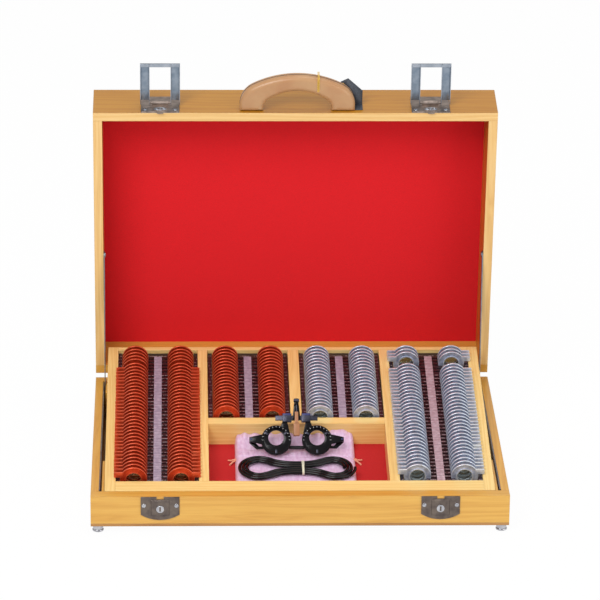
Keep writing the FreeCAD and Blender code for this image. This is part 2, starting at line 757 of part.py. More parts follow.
def hasp():
    """Hasp standing out from the wall: two channel arms on the axle's ends, and a bar across their tips."""
    z = MATE + AXLE_UP
    axle_y = FRONT - AXLE_OUT
    end = axle_y - HASP_LENGTH
    depth = HASP_DEPTH / 2
    outer = HASP_W / 2
    inner = HASP_WINDOW_W / 2
    web = box(inner, outer, end, axle_y - BOSS_R - CLEARANCE, z + depth - HASP_SHEET, z + depth)
    arm = [web]
    for x in (inner, outer - HASP_SHEET):
        tip = end + (HASP_SHORT if x > inner else 0)
        arm.append(box(x, x + HASP_SHEET, tip, axle_y + HASP_EAR, z - depth, z + depth))
    arm = arm[0].fuse(arm[1:])
    bar = box(-outer, outer, end, end + HASP_BAR, z, z + depth)
    solid = arm.fuse([mirrored(arm), bar])
    bore_end = inner + HASP_SHEET + CLEARANCE
    bore = rod(-bore_end, axle_y, z, X_AXIS, AXLE_D / 2 + PIN_CLEARANCE, 2 * bore_end)
    return solid.cut(bore).removeSplitter()


def build_hasps():
    save("latch_plates", [on_lid(moved(latch_plate(), side * LATCH_X)) for side in (-1, 1)])
    save("latch_hasp_left", [on_lid(moved(hasp(), -LATCH_X))])
    save("latch_hasp_right", [on_lid(moved(hasp(), LATCH_X))])


# Handle and tag

def arch(half, height, flank_r, spring):
    """Three-centred arch over its two feet, as tangent edges from the left foot to the right foot."""
    reach = half - flank_r
    crown_r = ((reach ** 2 + (height - spring) ** 2 - flank_r ** 2)
               / (2 * (height - spring - flank_r)))
    crown_h = height - crown_r
    lean = math.atan2(spring - crown_h, reach)

    def point(x, h):
        return Vector(HANDLE_X + x, FRONT - h, 0)

    def flank(side, angle):
        return point(side * (reach + flank_r * math.cos(angle)), spring + flank_r * math.sin(angle))
    return [Part.makeLine(point(-half, 0), point(-half, spring)),
            Part.Arc(point(-half, spring), flank(-1, lean / 2), flank(-1, lean)).toShape(),
            Part.Arc(flank(-1, lean), point(0, height), flank(1, lean)).toShape(),
            Part.Arc(flank(1, lean), flank(1, lean / 2), point(half, spring)).toShape(),
            Part.makeLine(point(half, spring), point(half, 0))]


def build_handle():
    """Moulded bow handle with wide feet, bevelled along its edges."""
    half = HANDLE_W / 2
    gap = HANDLE_GAP_W / 2
    outer = arch(half, HANDLE_H, HANDLE_FLANK_R, HANDLE_SPRING)
    inner = arch(gap, HANDLE_GAP_H, HANDLE_GAP_FLANK_R, HANDLE_GAP_SPRING)
    feet = [Part.makeLine(Vector(HANDLE_X + side * half, FRONT, 0), Vector(HANDLE_X + side * gap, FRONT, 0))
            for side in (-1, 1)]
    outline = Part.Wire(Part.__sortEdges__(outer + inner + feet))
    bow = Part.Face(outline).extrude(Vector(0, 0, HANDLE_DEPTH))
    bow.translate(Vector(0, 0, MATE + HANDLE_UP))
    long_edges = [edge for edge in bow.Edges
                  if edge.BoundBox.ZLength < CLEARANCE and edge.BoundBox.YLength > CLEARANCE]
    save("handle", [on_lid(bow.makeChamfer(HANDLE_ROUND, long_edges))])


def build_tag():
    """Folded card behind the handle's right leg: one leaf leans there, the other lies beside the foot."""
    back = MATE + HANDLE_UP + HANDLE_DEPTH + CLEARANCE
    foot = HANDLE_X + HANDLE_W / 2 + CLEARANCE
    corners = [(foot, 0), (foot + TAG_W, 0), (foot + TAG_W, TAG_LOW_H), (foot - TAG_LEAN_X + TAG_W, TAG_H),
               (foot - TAG_LEAN_X, TAG_H - TAG_W / 2)]
    leaf = prism([Vector(x, FRONT - h, back) for x, h in corners], Vector(0, 0, TAG_T))
    strip = box(foot, foot + TAG_W, FRONT - TAG_T, FRONT, back - TAG_FOLD, back)
    save("handle_tag", [on_lid(leaf.fuse(strip))])


# Pouch and cord

def build_pouch():
    floor = -COMPARTMENT_DEPTH
    rear = CROSS_RAIL_S - CLEARANCE
    profile = [(POUCH_FRONT, floor), (POUCH_FRONT + POUCH_EDGE / 2, floor + POUCH_T / 2),
               (POUCH_FRONT + POUCH_EDGE, POUCH_TOP), (rear - 2 * POUCH_CROWN, POUCH_TOP),
               (rear - POUCH_CROWN / 2, POUCH_TOP + POUCH_REAR_RISE), (rear, POUCH_TOP + POUCH_REAR_RISE),
               (rear, floor)]
    save("pouch", [on_tray(prism_x(profile, POUCH_LEFT, POUCH_RIGHT))])


def hank_arc(centre, radius, start, turn):
    """Arc about (x, s) through start and start + turn, in degrees."""
    def point(angle):
        a = math.radians(angle)
        return Vector(centre[0] + radius * math.cos(a), centre[1] + radius * math.sin(a), HANK_T)
    return Part.Arc(point(start), point(start + turn / 2), point(start + turn))


def hank_shape():
    """Radius and place of the waist arcs, and the step inwards that each turn takes on its right lobe."""
    waist_r = ((HANK_LOBE_X ** 2 + HANK_WAIST ** 2 - HANK_LOBE_R ** 2)
               / (2 * (HANK_LOBE_R - HANK_WAIST)))
    waist_s = HANK_WAIST + waist_r
    reach = math.hypot(HANK_LOBE_X, waist_s)
    step = CORD_PITCH * (2 * reach - CORD_PITCH) / (2 * (reach + HANK_LOBE_X - CORD_PITCH))
    return waist_r, waist_s, reach, step


def hank_arcs():
    """Flat hank of two lobes drawn in at the waist, wound outwards from the right lobe."""
    waist_r, waist_s, reach, step = hank_shape()
    right = (HANK_X + HANK_LOBE_X, HANK_S)
    right_in = (HANK_X + HANK_LOBE_X - step, HANK_S)
    left = (HANK_X - HANK_LOBE_X, HANK_S)
    rear = (HANK_X, HANK_S + waist_s)
    front = (HANK_X, HANK_S - waist_s)
    wide = math.degrees(math.atan2(waist_s, -HANK_LOBE_X))
    turned = math.degrees(math.atan2(waist_s, step - HANK_LOBE_X))
    arcs = []
    for i in range(CORD_TURNS):
        lobe_r = HANK_LOBE_R - (CORD_TURNS - 1 - i) * CORD_PITCH
        arcs.append(hank_arc(right_in, lobe_r - CORD_PITCH + step, 0, turned))
        arcs.append(hank_arc(rear, reach - lobe_r, turned - 180, 180 - turned - wide))
        arcs.append(hank_arc(left, lobe_r, 180 - wide, 2 * wide))
        arcs.append(hank_arc(front, reach - lobe_r, wide, 180 - 2 * wide))
        arcs.append(hank_arc(right, lobe_r, -wide, wide))
    return arcs


def self_gap(path, length):
    """Least gap of the cord to itself, measured between points that lie a few diameters apart along it."""
    count = int(length / CORD_D)
    points = path.discretize(count)
    apart = 4
    nearest = min(points[i].distanceToPoint(points[j])
                  for i in range(count) for j in range(i + apart, count))
    return nearest - CORD_D


def cord_points():
    """Points along the cord's middle line, at least one for every CORD_BEND degrees of a bend."""
    points = []
    for arc in hank_arcs():
        edge = arc.toShape()
        bend = math.degrees(edge.Length / edge.Curve.Radius)
        points += edge.discretize(int(bend / CORD_BEND) + 2)[1 if points else 0:]
    return points


def cord_edge(points, side):
    """Long edge of the cord's underside, on one side of its middle line."""
    before = points[:1] + points[:-1]
    after = points[1:] + points[-1:]
    corners = []
    for point, start, end in zip(points, before, after):
        along = (end - start).normalize()
        corners.append(point + Vector(-side * along.y, side * along.x, -1) * CORD_HALF)
    return corners


def build_cord():
    """One unbroken cord of square section through all the turns of the hank, and the tie round its waist."""
    path = Part.Wire([arc.toShape() for arc in hank_arcs()])
    print("cord length %.0f, least gap to itself %.2f" % (path.Length, self_gap(path, path.Length)))
    points = cord_points()
    outline = cord_edge(points, 1) + cord_edge(points, -1)[::-1]
    save("lens_cord", [on_tray(prism(outline, Vector(0, 0, 2 * CORD_HALF)))])

    radius = CORD_D / 2
    waist_r, waist_s, reach, step = hank_shape()
    off = TIE_X - HANK_X
    half = waist_s - math.sqrt(waist_r ** 2 - off ** 2) + radius + CLEARANCE
    tall = radius + CLEARANCE
    outer = box(TIE_X - TIE_W / 2, TIE_X + TIE_W / 2, HANK_S - half - TIE_T, HANK_S + half + TIE_T,
                HANK_T - tall - TIE_T, HANK_T + tall + TIE_T)
    inner = box(TIE_X - TIE_W, TIE_X + TIE_W, HANK_S - half, HANK_S + half, HANK_T - tall, HANK_T + tall)
    save("cord_tie", [on_tray(outer.cut(inner))])


# Trial frame, drawn as x across, v up its front and n out of its front

def build_frame_bar():
    """Bar with the forked bracket that carries the head of the nose rest's screw."""
    half_t = FRAME_BAR_T / 2
    low = BAR_V - FRAME_BAR_H / 2
    bar = box(-FRAME_BAR_L / 2, FRAME_BAR_L / 2, low, low + FRAME_BAR_H, -half_t, half_t)
    fork_v = BRACKET_TOP_V - 2 * BRACKET_HEAD_H
    outline = [(-BRACKET_FOOT_X, low), (-BRACKET_TOP_X, BRACKET_TOP_V), (BRACKET_TOP_X, BRACKET_TOP_V),
               (BRACKET_FOOT_X, low), (BRACKET_FOOT_X - BRACKET_LEG_W, low), (0, fork_v),
               (BRACKET_LEG_W - BRACKET_FOOT_X, low)]
    fork = prism_z(outline, half_t, half_t + BRACKET_T)
    head = box(-BRACKET_TOP_X, BRACKET_TOP_X, BRACKET_TOP_V - BRACKET_HEAD_H, BRACKET_TOP_V,
               half_t, SPINDLE_N + SPINDLE_D)
    solid = bar.fuse([fork, head])
    bore = rod(0, low, SPINDLE_N, Y_AXIS, SPINDLE_D / 2 + PIN_CLEARANCE, BRACKET_TOP_V)
    save("trial_frame_bar", [on_frame(solid.cut(bore))])


def trial_cell(temple_level):
    """Right lens cell with its upright, its slide on the bar, its arm and the hinge block of its temple."""
    half_t = CELL_T / 2
    cell = prism_z(polygon(CELL_D / 2, CELL_X, CELL_V), -half_t, half_t)
    slide = box(SLIDE_X, SLIDE_X + SLIDE_W, BAR_V - SLIDE_H / 2, BAR_V + SLIDE_H / 2,
                -SLIDE_T / 2, SLIDE_T / 2)
    neck_v = BAR_V - SLIDE_H / 2
    neck_x = SLIDE_X + SLIDE_W - UPRIGHT_W
    upright = prism_z([(neck_x - UPRIGHT_W / 2, CELL_V + CELL_D / 4), (neck_x, neck_v),
                       (neck_x + UPRIGHT_W, neck_v), (CELL_X - UPRIGHT_W, CELL_V + CELL_D / 2 - CELL_T / 2)],
                      -ARM_T / 2, ARM_T / 2)
    root_x = CELL_X + CELL_D / 2 - ARM_T
    arm = prism_z([(root_x, ARM_V - ARM_ROOT_H / 2), (ARM_X, ARM_V - ARM_TIP_H / 2),
                   (ARM_X, ARM_V + ARM_TIP_H / 2), (root_x, ARM_V + ARM_ROOT_H / 2)], -ARM_T / 2, ARM_T / 2)
    block = box(ARM_X - TEMPLE_W, ARM_X, ARM_V - ARM_TIP_H / 2, ARM_V + ARM_TIP_H / 2,
                temple_level, -ARM_T / 2)
    solid = cell.fuse([slide, upright, arm, block])
    recess = prism_z(polygon(CELL_SEAT_D / 2, CELL_X, CELL_V), 0, CELL_T)
    window = prism_z(polygon(CELL_HOLE_D / 2, CELL_X, CELL_V + CELL_HOLE_UP), -CELL_T, CELL_T)
    groove_v = FRAME_BAR_H / 2 + SLIDE_PLAY
    groove_n = FRAME_BAR_T / 2 + SLIDE_PLAY
    groove = box(0, ARM_X, BAR_V - groove_v, BAR_V + groove_v, -groove_n, groove_n)
    return solid.cut([recess, window, groove])


def temple(level):
    """Right temple, folded flat behind the cells, with its ear end bent up."""
    low = TEMPLE_V - TEMPLE_W / 2
    high = TEMPLE_V + TEMPLE_W / 2
    bend = ARM_X - (ARM_V - TEMPLE_V) - TEMPLE_W
    outline = [(ARM_X, ARM_V - ARM_TIP_H / 2), (ARM_X, ARM_V + ARM_TIP_H / 2),
               (ARM_X - TEMPLE_W, ARM_V + ARM_TIP_H / 2), (bend, high), (TEMPLE_W - TEMPLE_CROSS_X, high),
               (TEMPLE_W - TEMPLE_CROSS_X, TEMPLE_HOOK_V), (-TEMPLE_CROSS_X, TEMPLE_HOOK_V),
               (-TEMPLE_CROSS_X, low), (bend + TEMPLE_W, low)]
    return prism_z(outline, level - TEMPLE_T, level)


def build_trial_frame():
    build_frame_bar()
    level = -CELL_T / 2 - TEMPLE_STEP
    save("trial_cell_right", [on_frame(trial_cell(level))])
    save("trial_temple_right", [on_frame(temple(level))])
    level -= TEMPLE_T + TEMPLE_STEP / 2
    save("trial_cell_left", [on_frame(mirrored(trial_cell(level)))])
    save("trial_temple_left", [on_frame(mirrored(temple(level)))])

    stem_n = SPINDLE_N - STEM_T / 2
    stem = box(-STEM_W / 2, STEM_W / 2, NOSE_V, STEM_TOP_V, stem_n, stem_n + STEM_T)
    plate = box(-NOSE_W / 2, NOSE_W / 2, NOSE_V, NOSE_V + NOSE_H, stem_n, stem_n + STEM_T)
    front_n = stem_n + STEM_T
    saddle = prism_x([(NOSE_V, front_n - NOSE_T), (NOSE_V + NOSE_T, stem_n), (NOSE_V + NOSE_T, front_n),
                      (NOSE_V, front_n)], -NOSE_W / 2, NOSE_W / 2)
    rest = stem.fuse([plate, saddle]).cut(
        rod(0, NOSE_V + NOSE_H, SPINDLE_N, Y_AXIS, SPINDLE_D / 2 + PIN_CLEARANCE, STEM_TOP_V))
    save("trial_nose_rest", [on_frame(rest)])

    knob_v = BRACKET_TOP_V + CLEARANCE
    count = 2 * KNOB_RIBS
    rim = [(KNOB_D / 2 - (KNOB_RIB_DEPTH if i % 2 else 0), math.pi * 2 * i / count) for i in range(count)]
    head = prism([Vector(r * math.cos(a), knob_v, SPINDLE_N + r * math.sin(a)) for r, a in rim],
                 Vector(0, KNOB_H, 0))
    spindle_v = NOSE_V + NOSE_H + NOSE_TRAVEL + CLEARANCE
    spindle = rod(0, spindle_v, SPINDLE_N, Y_AXIS, SPINDLE_D / 2, knob_v + KNOB_H - spindle_v)
    save("trial_knob", [on_frame(head.fuse(spindle))])


if __name__ == "__main__":
    os.makedirs("parts", exist_ok=True)
    build_base()
    build_feet()
    build_tray()
    build_lenses()
    build_locks()
    build_hinges()
    build_stays()
    build_lid()
    build_hasps()
    build_handle()
    build_pouch()
    build_tag()
    build_cord()
    build_trial_frame()
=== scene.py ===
import json
import random
from math import asin, atan2, copysign, cos, degrees, exp, hypot, pi, radians, sin, sqrt

import bmesh
import bpy
from mathutils import Matrix, Vector, noise


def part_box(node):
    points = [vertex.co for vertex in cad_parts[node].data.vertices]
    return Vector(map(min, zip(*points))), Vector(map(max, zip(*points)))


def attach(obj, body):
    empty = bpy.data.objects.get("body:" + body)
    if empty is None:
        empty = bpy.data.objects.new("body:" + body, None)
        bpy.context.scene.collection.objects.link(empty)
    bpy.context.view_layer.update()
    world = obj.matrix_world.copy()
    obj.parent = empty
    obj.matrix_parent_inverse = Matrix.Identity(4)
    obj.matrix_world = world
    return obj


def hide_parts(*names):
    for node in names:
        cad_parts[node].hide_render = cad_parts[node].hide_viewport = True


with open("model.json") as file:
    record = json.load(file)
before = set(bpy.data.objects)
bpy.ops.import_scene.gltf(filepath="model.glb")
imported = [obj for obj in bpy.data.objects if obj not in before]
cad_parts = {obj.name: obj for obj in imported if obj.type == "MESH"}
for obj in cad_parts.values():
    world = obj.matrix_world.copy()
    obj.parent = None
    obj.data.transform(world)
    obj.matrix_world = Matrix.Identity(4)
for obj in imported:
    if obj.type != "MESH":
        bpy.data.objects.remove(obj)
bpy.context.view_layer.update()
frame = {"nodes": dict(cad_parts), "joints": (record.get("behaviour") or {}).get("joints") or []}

# Trial lens case, standing open. Pieces are drawn in millimetres and turned to metres when they are made.

MM = 0.001
BASE_LOW, BASE_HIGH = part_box("base_front_wall")
FRONT = BASE_LOW.y / MM
MATE = BASE_HIGH.z / MM
JOINTS = {joint["name"]: joint for joint in frame["joints"]}
HINGE = Vector(JOINTS["lid_hinge"]["pos_m"]) / MM
LID_OPEN = 83.0
TRAY_LAP = 17.0
TRAY_RISE = 54.3
TRAY_DEPTH = 394.3
TRAY_SLOPE = atan2(TRAY_RISE, TRAY_DEPTH)
PITCH = 9.27
SIDES = ((-1, "left"), (1, "right"))

STILL = Matrix.Identity(4)
TO_METRES = Matrix.Scale(MM, 4)


def at(x, y, z=0.0):
    """Shift to a place."""
    return Matrix.Translation((x, y, z))


def swing(angle, axis="Z"):
    """Turn about an axis, in degrees."""
    return Matrix.Rotation(radians(angle), 4, axis)


IN_TRAY = at(0, FRONT + TRAY_LAP, MATE) @ Matrix.Rotation(TRAY_SLOPE, 4, "X")
IN_LID = at(*HINGE) @ swing(-LID_OPEN, "X") @ at(*-HINGE)
# Turns a plate that is drawn flat, x right and y up, to face the front.
UPRIGHT = swing(90, "X")


# Camera, at the place and tilt that the photograph's edges give

CAMERA_PLACE = Vector((-0.173332, FRONT * MM - 5.013652, 2.330741))
CAMERA_DOWN = radians(21.5815)
CAMERA_YAW = radians(1.9363)
CAMERA_ROLL = radians(0.636)
FOCAL_PIXELS = 3983.108
FRAME_PIXELS = 600


def make_camera():
    ahead = Vector((sin(CAMERA_YAW) * cos(CAMERA_DOWN),
                    cos(CAMERA_YAW) * cos(CAMERA_DOWN), -sin(CAMERA_DOWN)))
    level = Vector((cos(CAMERA_YAW), -sin(CAMERA_YAW), 0))
    above = level.cross(ahead)
    right = level * cos(CAMERA_ROLL) + above * sin(CAMERA_ROLL)
    up = above * cos(CAMERA_ROLL) - level * sin(CAMERA_ROLL)
    camera = bpy.data.objects.new("camera", bpy.data.cameras.new("camera"))
    camera.data.sensor_fit = "HORIZONTAL"
    camera.data.sensor_width = 36
    camera.data.lens = FOCAL_PIXELS / FRAME_PIXELS * camera.data.sensor_width
    camera.data.clip_end = 100
    camera.matrix_world = at(*CAMERA_PLACE) @ Matrix((right, up, -ahead)).transposed().to_4x4()
    bpy.context.scene.collection.objects.link(camera)
    bpy.context.scene.camera = camera


# Materials

def linear(code):
    """Linear colour of an sRGB hex value."""
    channels = [int(code[i:i + 2], 16) / 255 for i in (1, 3, 5)]
    return [c / 12.92 if c <= 0.04045 else ((c + 0.055) / 1.055) ** 2.4 for c in channels] + [1.0]


def setting(value):
    """A number as it is, and a hex colour as linear."""
    return linear(value) if isinstance(value, str) else value


def add(tree, kind, inputs=None, stops=None, out=None, **settings):
    """Adds a node with its settings, and its inputs as numbers, hex colours or the sockets to link.
    Returns the named output, or else the first one in use."""
    node = tree.nodes.new("ShaderNode" + kind)
    for name, value in settings.items():
        setattr(node, name, value)
    for name, value in (inputs or {}).items():
        if isinstance(value, bpy.types.NodeSocket):
            tree.links.new(value, node.inputs[name])
        else:
            node.inputs[name].default_value = setting(value)
    if stops:
        ramp = node.color_ramp
        while len(ramp.elements) < len(stops):
            ramp.elements.new(0.5)
        for element, (place, code) in zip(ramp.elements, stops):
            element.position = place
            element.color = linear(code)
    return node.outputs[out] if out else next(socket for socket in node.outputs if socket.enabled)


def start_material(name, **sockets):
    """A material, its node tree and its shader, with what is the same all over set on the shader."""
    material = bpy.data.materials.new(name)
    material.use_nodes = True
    tree = material.node_tree
    shader = tree.nodes["Principled BSDF"]
    for socket, value in sockets.items():
        shader.inputs[socket.replace("_", " ")].default_value = setting(value)
    return material, tree, shader


def join_up(tree, shader, colour=None, roughness=None, height=None, depth=0.0001, rounding=0.0):
    """Links colour, roughness and a bump of real depth, in metres, to a shader."""
    if colour is not None:
        tree.links.new(colour, shader.inputs["Base Color"])
    if roughness is not None:
        tree.links.new(roughness, shader.inputs["Roughness"])
    inputs = {}
    if rounding:
        inputs["Normal"] = add(tree, "Bevel", {"Radius": rounding}, samples=4)
    if height is not None:
        inputs.update({"Height": height, "Distance": depth, "Strength": 1.0})
        tree.links.new(add(tree, "Bump", inputs), shader.inputs["Normal"])
    elif rounding:
        tree.links.new(inputs["Normal"], shader.inputs["Normal"])


def object_place(tree, turn=(0, 0, 0), stretch=(1, 1, 1), shift=(0, 0, 0)):
    """Place in the piece's own metres, turned and then stretched."""
    place = add(tree, "TexCoord", out="Object")
    turned = add(tree, "Mapping", {"Vector": place, "Rotation": turn, "Location": shift})
    return add(tree, "Mapping", {"Vector": turned, "Scale": stretch})


# A wave texture's scale for waves one metre apart
WAVE = 0.314


def lacquered_pine(name, turn, tones, painted_shade="#FFFFFF"):
    """Planed pine under gloss lacquer: low-contrast growth rings and fine fibres, and painted shade: a darker
    colour multiplied on the faces which don't face the front."""
    ring_gap = 0.0065
    fibre = 0.0009
    light, middle, dark = tones
    material, tree, shader = start_material(name, Roughness=0.34, Coat_Weight=0.35, Coat_Roughness=0.12)
    along = object_place(tree, turn, (0.07, 1, 1), (0.03, 0.011, 0.017))
    sway = add(tree, "TexNoise", {"Vector": along, "Scale": 22.0, "Detail": 3.0}, out="Color")
    bent = add(tree, "VectorMath", {0: sway, 1: (0.05, 0.05, 0.05)}, operation="MULTIPLY")
    swayed = add(tree, "VectorMath", {0: along, 1: bent}, operation="ADD")
    rings = add(tree, "TexWave", {"Vector": swayed, "Scale": WAVE / ring_gap, "Distortion": 1.5,
                                  "Detail": 2.0, "Detail Scale": 1.5},
                out="Fac", wave_type="RINGS", rings_direction="X")
    fine = object_place(tree, turn, (0.02, 1, 1))
    fibres = add(tree, "TexNoise", {"Vector": fine, "Scale": 1 / fibre, "Detail": 2.0, "Roughness": 0.6})
    broad = add(tree, "TexNoise", {"Vector": along, "Scale": 9.0, "Detail": 1.0})
    grain = add(tree, "ValToRGB", {"Fac": rings},
                stops=[(0.0, light), (0.55, middle), (0.9, dark), (1.0, middle)])
    toned = add(tree, "Mix", {"Factor": 0.6, "A": grain, "B": middle}, data_type="RGBA")
    streaks = add(tree, "ValToRGB", {"Fac": fibres}, stops=[(0.35, "#E2C294"), (0.6, "#FFFFFF")])
    lined = add(tree, "Mix", {"Factor": 0.25, "A": toned, "B": streaks},
                data_type="RGBA", blend_type="MULTIPLY")
    patches = add(tree, "ValToRGB", {"Fac": broad}, stops=[(0.3, "#F0D9B8"), (0.7, "#FFFFFF")])
    colour = add(tree, "Mix", {"Factor": 0.3, "A": lined, "B": patches},
                 data_type="RGBA", blend_type="MULTIPLY")
    # Painted shade: faces whose normal doesn't point to the front are multiplied by the shade colour; it is
    # white, so no shade, for all but the lid.
    facing = add(tree, "SeparateXYZ", {"Vector": add(tree, "TexCoord", out="Normal")}, out="Y")
    away = add(tree, "Math", {0: facing, 1: -0.7}, operation="GREATER_THAN")
    shade_painted = add(tree, "Mix", {"Factor": away, "A": colour, "B": painted_shade},
                    data_type="RGBA", blend_type="MULTIPLY")
    join_up(tree, shader, shade_painted, None, fibres, 0.00004, 0.0012)
    return material


def flocked_felt(name, light, dark):
    """Short flocked pile on card: one even, matt colour with the grain of single fibres."""
    pile = 0.0007
    material, tree, shader = start_material(name, Roughness=0.95, Sheen_Weight=0.08, Sheen_Roughness=0.5)
    grain = add(tree, "TexNoise", {"Vector": object_place(tree), "Scale": 1 / pile, "Detail": 2.0})
    colour = add(tree, "ValToRGB", {"Fac": grain}, stops=[(0.3, dark), (0.65, light)])
    join_up(tree, shader, colour, None, grain, 0.0002)
    return material


def anodised_rim(name, face, edge, dark):
    """Stamped aluminium ring, etched and dyed: satin, with a painted highlight, a lighter colour, on its
    corners.
    """
    etch = 0.0004
    material, tree, shader = start_material(name, Metallic=0.55, Roughness=0.38)
    place = object_place(tree)
    speckle = add(tree, "TexNoise", {"Vector": place, "Scale": 1 / etch, "Detail": 1.0})
    batch = add(tree, "TexNoise", {"Vector": place, "Scale": 160.0, "Detail": 1.0})
    tone = add(tree, "ValToRGB", {"Fac": batch}, stops=[(0.3, dark), (0.65, face)])
    # Painted highlight: the rim's sharp corners, found by pointiness, take the lighter edge colour.
    wear_and_highlight = add(tree, "NewGeometry", out="Pointiness")
    highlight_mask = add(tree, "MapRange", {"Value": wear_and_highlight, "From Min": 0.52, "From Max": 0.62})
    colour = add(tree, "Mix", {"Factor": highlight_mask, "A": tone, "B": edge},
                 data_type="RGBA")
    rough = add(tree, "MapRange", {"Value": speckle, "To Min": 0.3, "To Max": 0.5})
    join_up(tree, shader, colour, rough, speckle, 0.00002)
    return material


def ground_lens_glass():
    """Ground and polished crown glass: clear, with a faint grey-green body."""
    material, tree, shader = start_material("crown_glass", Base_Color="#F2F8F6", Roughness=0.02, IOR=1.52,
                                            Transmission_Weight=1.0)
    smear = add(tree, "TexNoise", {"Vector": object_place(tree), "Scale": 90.0, "Detail": 2.0})
    rough = add(tree, "MapRange", {"Value": smear, "To Min": 0.01, "To Max": 0.06})
    join_up(tree, shader, None, rough)
    return material


def moulded_plastic(name, colour, shade, roughness, rounding=0.0, grain=0.0006, depth=0.00002, shine=0.5):
    """Injection-moulded plastic: an even colour with a slight flow cast and a fine mould grain."""
    material, tree, shader = start_material(name, Roughness=roughness, Specular_IOR_Level=shine)
    place = object_place(tree)
    cast = add(tree, "TexNoise", {"Vector": place, "Scale": 30.0, "Detail": 3.0})
    tone = add(tree, "ValToRGB", {"Fac": cast}, stops=[(0.3, shade), (0.65, colour)])
    texture = add(tree, "TexNoise", {"Vector": place, "Scale": 1 / grain, "Detail": 1.0})
    rough = add(tree, "MapRange", {"Value": cast, "To Min": roughness * 0.8,
                                   "To Max": roughness * 1.25})
    join_up(tree, shader, tone, rough, texture, depth, rounding)
    return material


def plated_metal(name, colour, shade, roughness, brush=(1, 1, 1), rounding=0.0004):
    """Nickel plate over pressed steel: dull grey-blue, with fine polishing lines and handling marks."""
    line = 0.0005
    material, tree, shader = start_material(name, Metallic=1.0, Roughness=roughness)
    along = object_place(tree, stretch=brush)
    lines = add(tree, "TexNoise", {"Vector": along, "Scale": 1 / line, "Detail": 2.0})
    marks = add(tree, "TexNoise", {"Vector": object_place(tree), "Scale": 120.0, "Detail": 4.0})
    tone = add(tree, "ValToRGB", {"Fac": marks}, stops=[(0.3, shade), (0.65, colour)])
    rough = add(tree, "MapRange", {"Value": marks, "To Min": roughness * 0.75,
                                   "To Max": roughness * 1.4})
    join_up(tree, shader, tone, rough, lines, 0.00002, rounding)
    return material


def tray_axis(tree, axis):
    """One coordinate in metres in the tray's own frame: X across, Y up the slope, Z square to its top."""
    origin = Vector((0, (FRONT + TRAY_LAP) * MM, MATE * MM))
    turn = Matrix.Rotation(-TRAY_SLOPE, 3, "X")
    inside = add(tree, "Mapping", {"Vector": add(tree, "TexCoord", out="Object"),
                                   "Rotation": (-TRAY_SLOPE, 0, 0), "Location": -(turn @ origin)})
    return add(tree, "SeparateXYZ", {"Vector": inside}, out=axis)


def marks_along(tree, pitch, width):
    """1 on marks of a given width, one in each pitch along the tray."""
    step = add(tree, "Math", {0: tray_axis(tree, "Y"), 1: pitch}, operation="MODULO")
    return add(tree, "Math", {0: step, 1: width}, operation="LESS_THAN")


def printed_strip(name, left_paper, right_paper, ink):
    """Coated card strips with a printed scale, pinker on the right: a long and a short line for each slot."""
    material, tree, shader = start_material(name, Roughness=0.5)
    long_line = marks_along(tree, PITCH * MM, 0.0011)
    short_line = marks_along(tree, PITCH * MM / 2, 0.0006)
    both = add(tree, "Math", {0: long_line, 1: short_line}, operation="MAXIMUM")
    fade = add(tree, "TexNoise", {"Vector": object_place(tree), "Scale": 200.0, "Detail": 2.0})
    inked = add(tree, "Math", {0: both, 1: 0.6}, operation="MULTIPLY")
    pinker = add(tree, "MapRange", {"Value": tray_axis(tree, "X"), "From Min": 0.1, "From Max": 0.15})
    paper = add(tree, "Mix", {"Factor": pinker, "A": left_paper, "B": right_paper},
                data_type="RGBA")
    wear_and_highlight = add(tree, "MapRange", {"Value": fade, "From Min": 0.4, "From Max": 0.7, "To Max": 0.3})
    tone = add(tree, "Mix", {"Factor": wear_and_highlight, "A": paper, "B": "#F2E4EE"},
               data_type="RGBA")
    colour = add(tree, "Mix", {"Factor": inked, "A": tone, "B": ink},
                 data_type="RGBA")
    join_up(tree, shader, colour, None, fade, 0.00002)
    return material


def rack_plastic():
    """Moulded black polystyrene comb, its slots' numbers shown as small pale marks."""
    material, tree, shader = start_material("black_polystyrene", Roughness=0.42)
    mark = marks_along(tree, PITCH * MM, 0.0016)
    cast = add(tree, "TexNoise", {"Vector": object_place(tree), "Scale": 400.0, "Detail": 2.0})
    level = add(tree, "Math", {0: tray_axis(tree, "Z"), 1: -0.0056}, operation="GREATER_THAN")
    broken = add(tree, "Math", {0: cast, 1: 0.5}, operation="GREATER_THAN")
    shown = mark
    for share in (level, broken, 0.6):
        shown = add(tree, "Math", {0: shown, 1: share}, operation="MULTIPLY")
    tone = add(tree, "ValToRGB", {"Fac": cast}, stops=[(0.3, "#1C1014"), (0.7, "#2E1C22")])
    colour = add(tree, "Mix", {"Factor": shown, "A": tone, "B": "#C8B4B8"},
                 data_type="RGBA")
    join_up(tree, shader, colour, None, cast, 0.00002)
    return material


def satin_cloth(dark, light):
    """Woven polyester satin: long floats give a soft sheen across the threads, with faint slubs."""
    thread = 0.0005
    material, tree, shader = start_material("polyester_satin", Roughness=0.4, Sheen_Weight=0.4,
                                            Sheen_Roughness=0.35, Anisotropic=0.4)
    place = object_place(tree, stretch=(1, 0.2, 1))
    threads = add(tree, "TexWave", {"Vector": place, "Scale": WAVE / thread, "Distortion": 0.6}, out="Fac")
    slubs = add(tree, "TexNoise", {"Vector": place, "Scale": 300.0, "Detail": 2.0})
    tone = add(tree, "ValToRGB", {"Fac": slubs}, stops=[(0.3, dark), (0.7, light)])
    join_up(tree, shader, tone, None, threads, 0.00003)
    return material


def twisted_thread(name, light, dark):
    """Twisted yarn: slanting plies that catch the light on one side."""
    ply = 0.0012
    material, tree, shader = start_material(name, Roughness=0.8, Sheen_Weight=0.3)
    place = object_place(tree, turn=(0.5, 0.6, 0.7))
    plies = add(tree, "TexWave", {"Vector": place, "Scale": WAVE / ply, "Distortion": 1.0}, out="Fac")
    tone = add(tree, "ValToRGB", {"Fac": plies}, stops=[(0.2, dark), (0.7, light)])
    join_up(tree, shader, tone, None, plies, 0.0001)
    return material


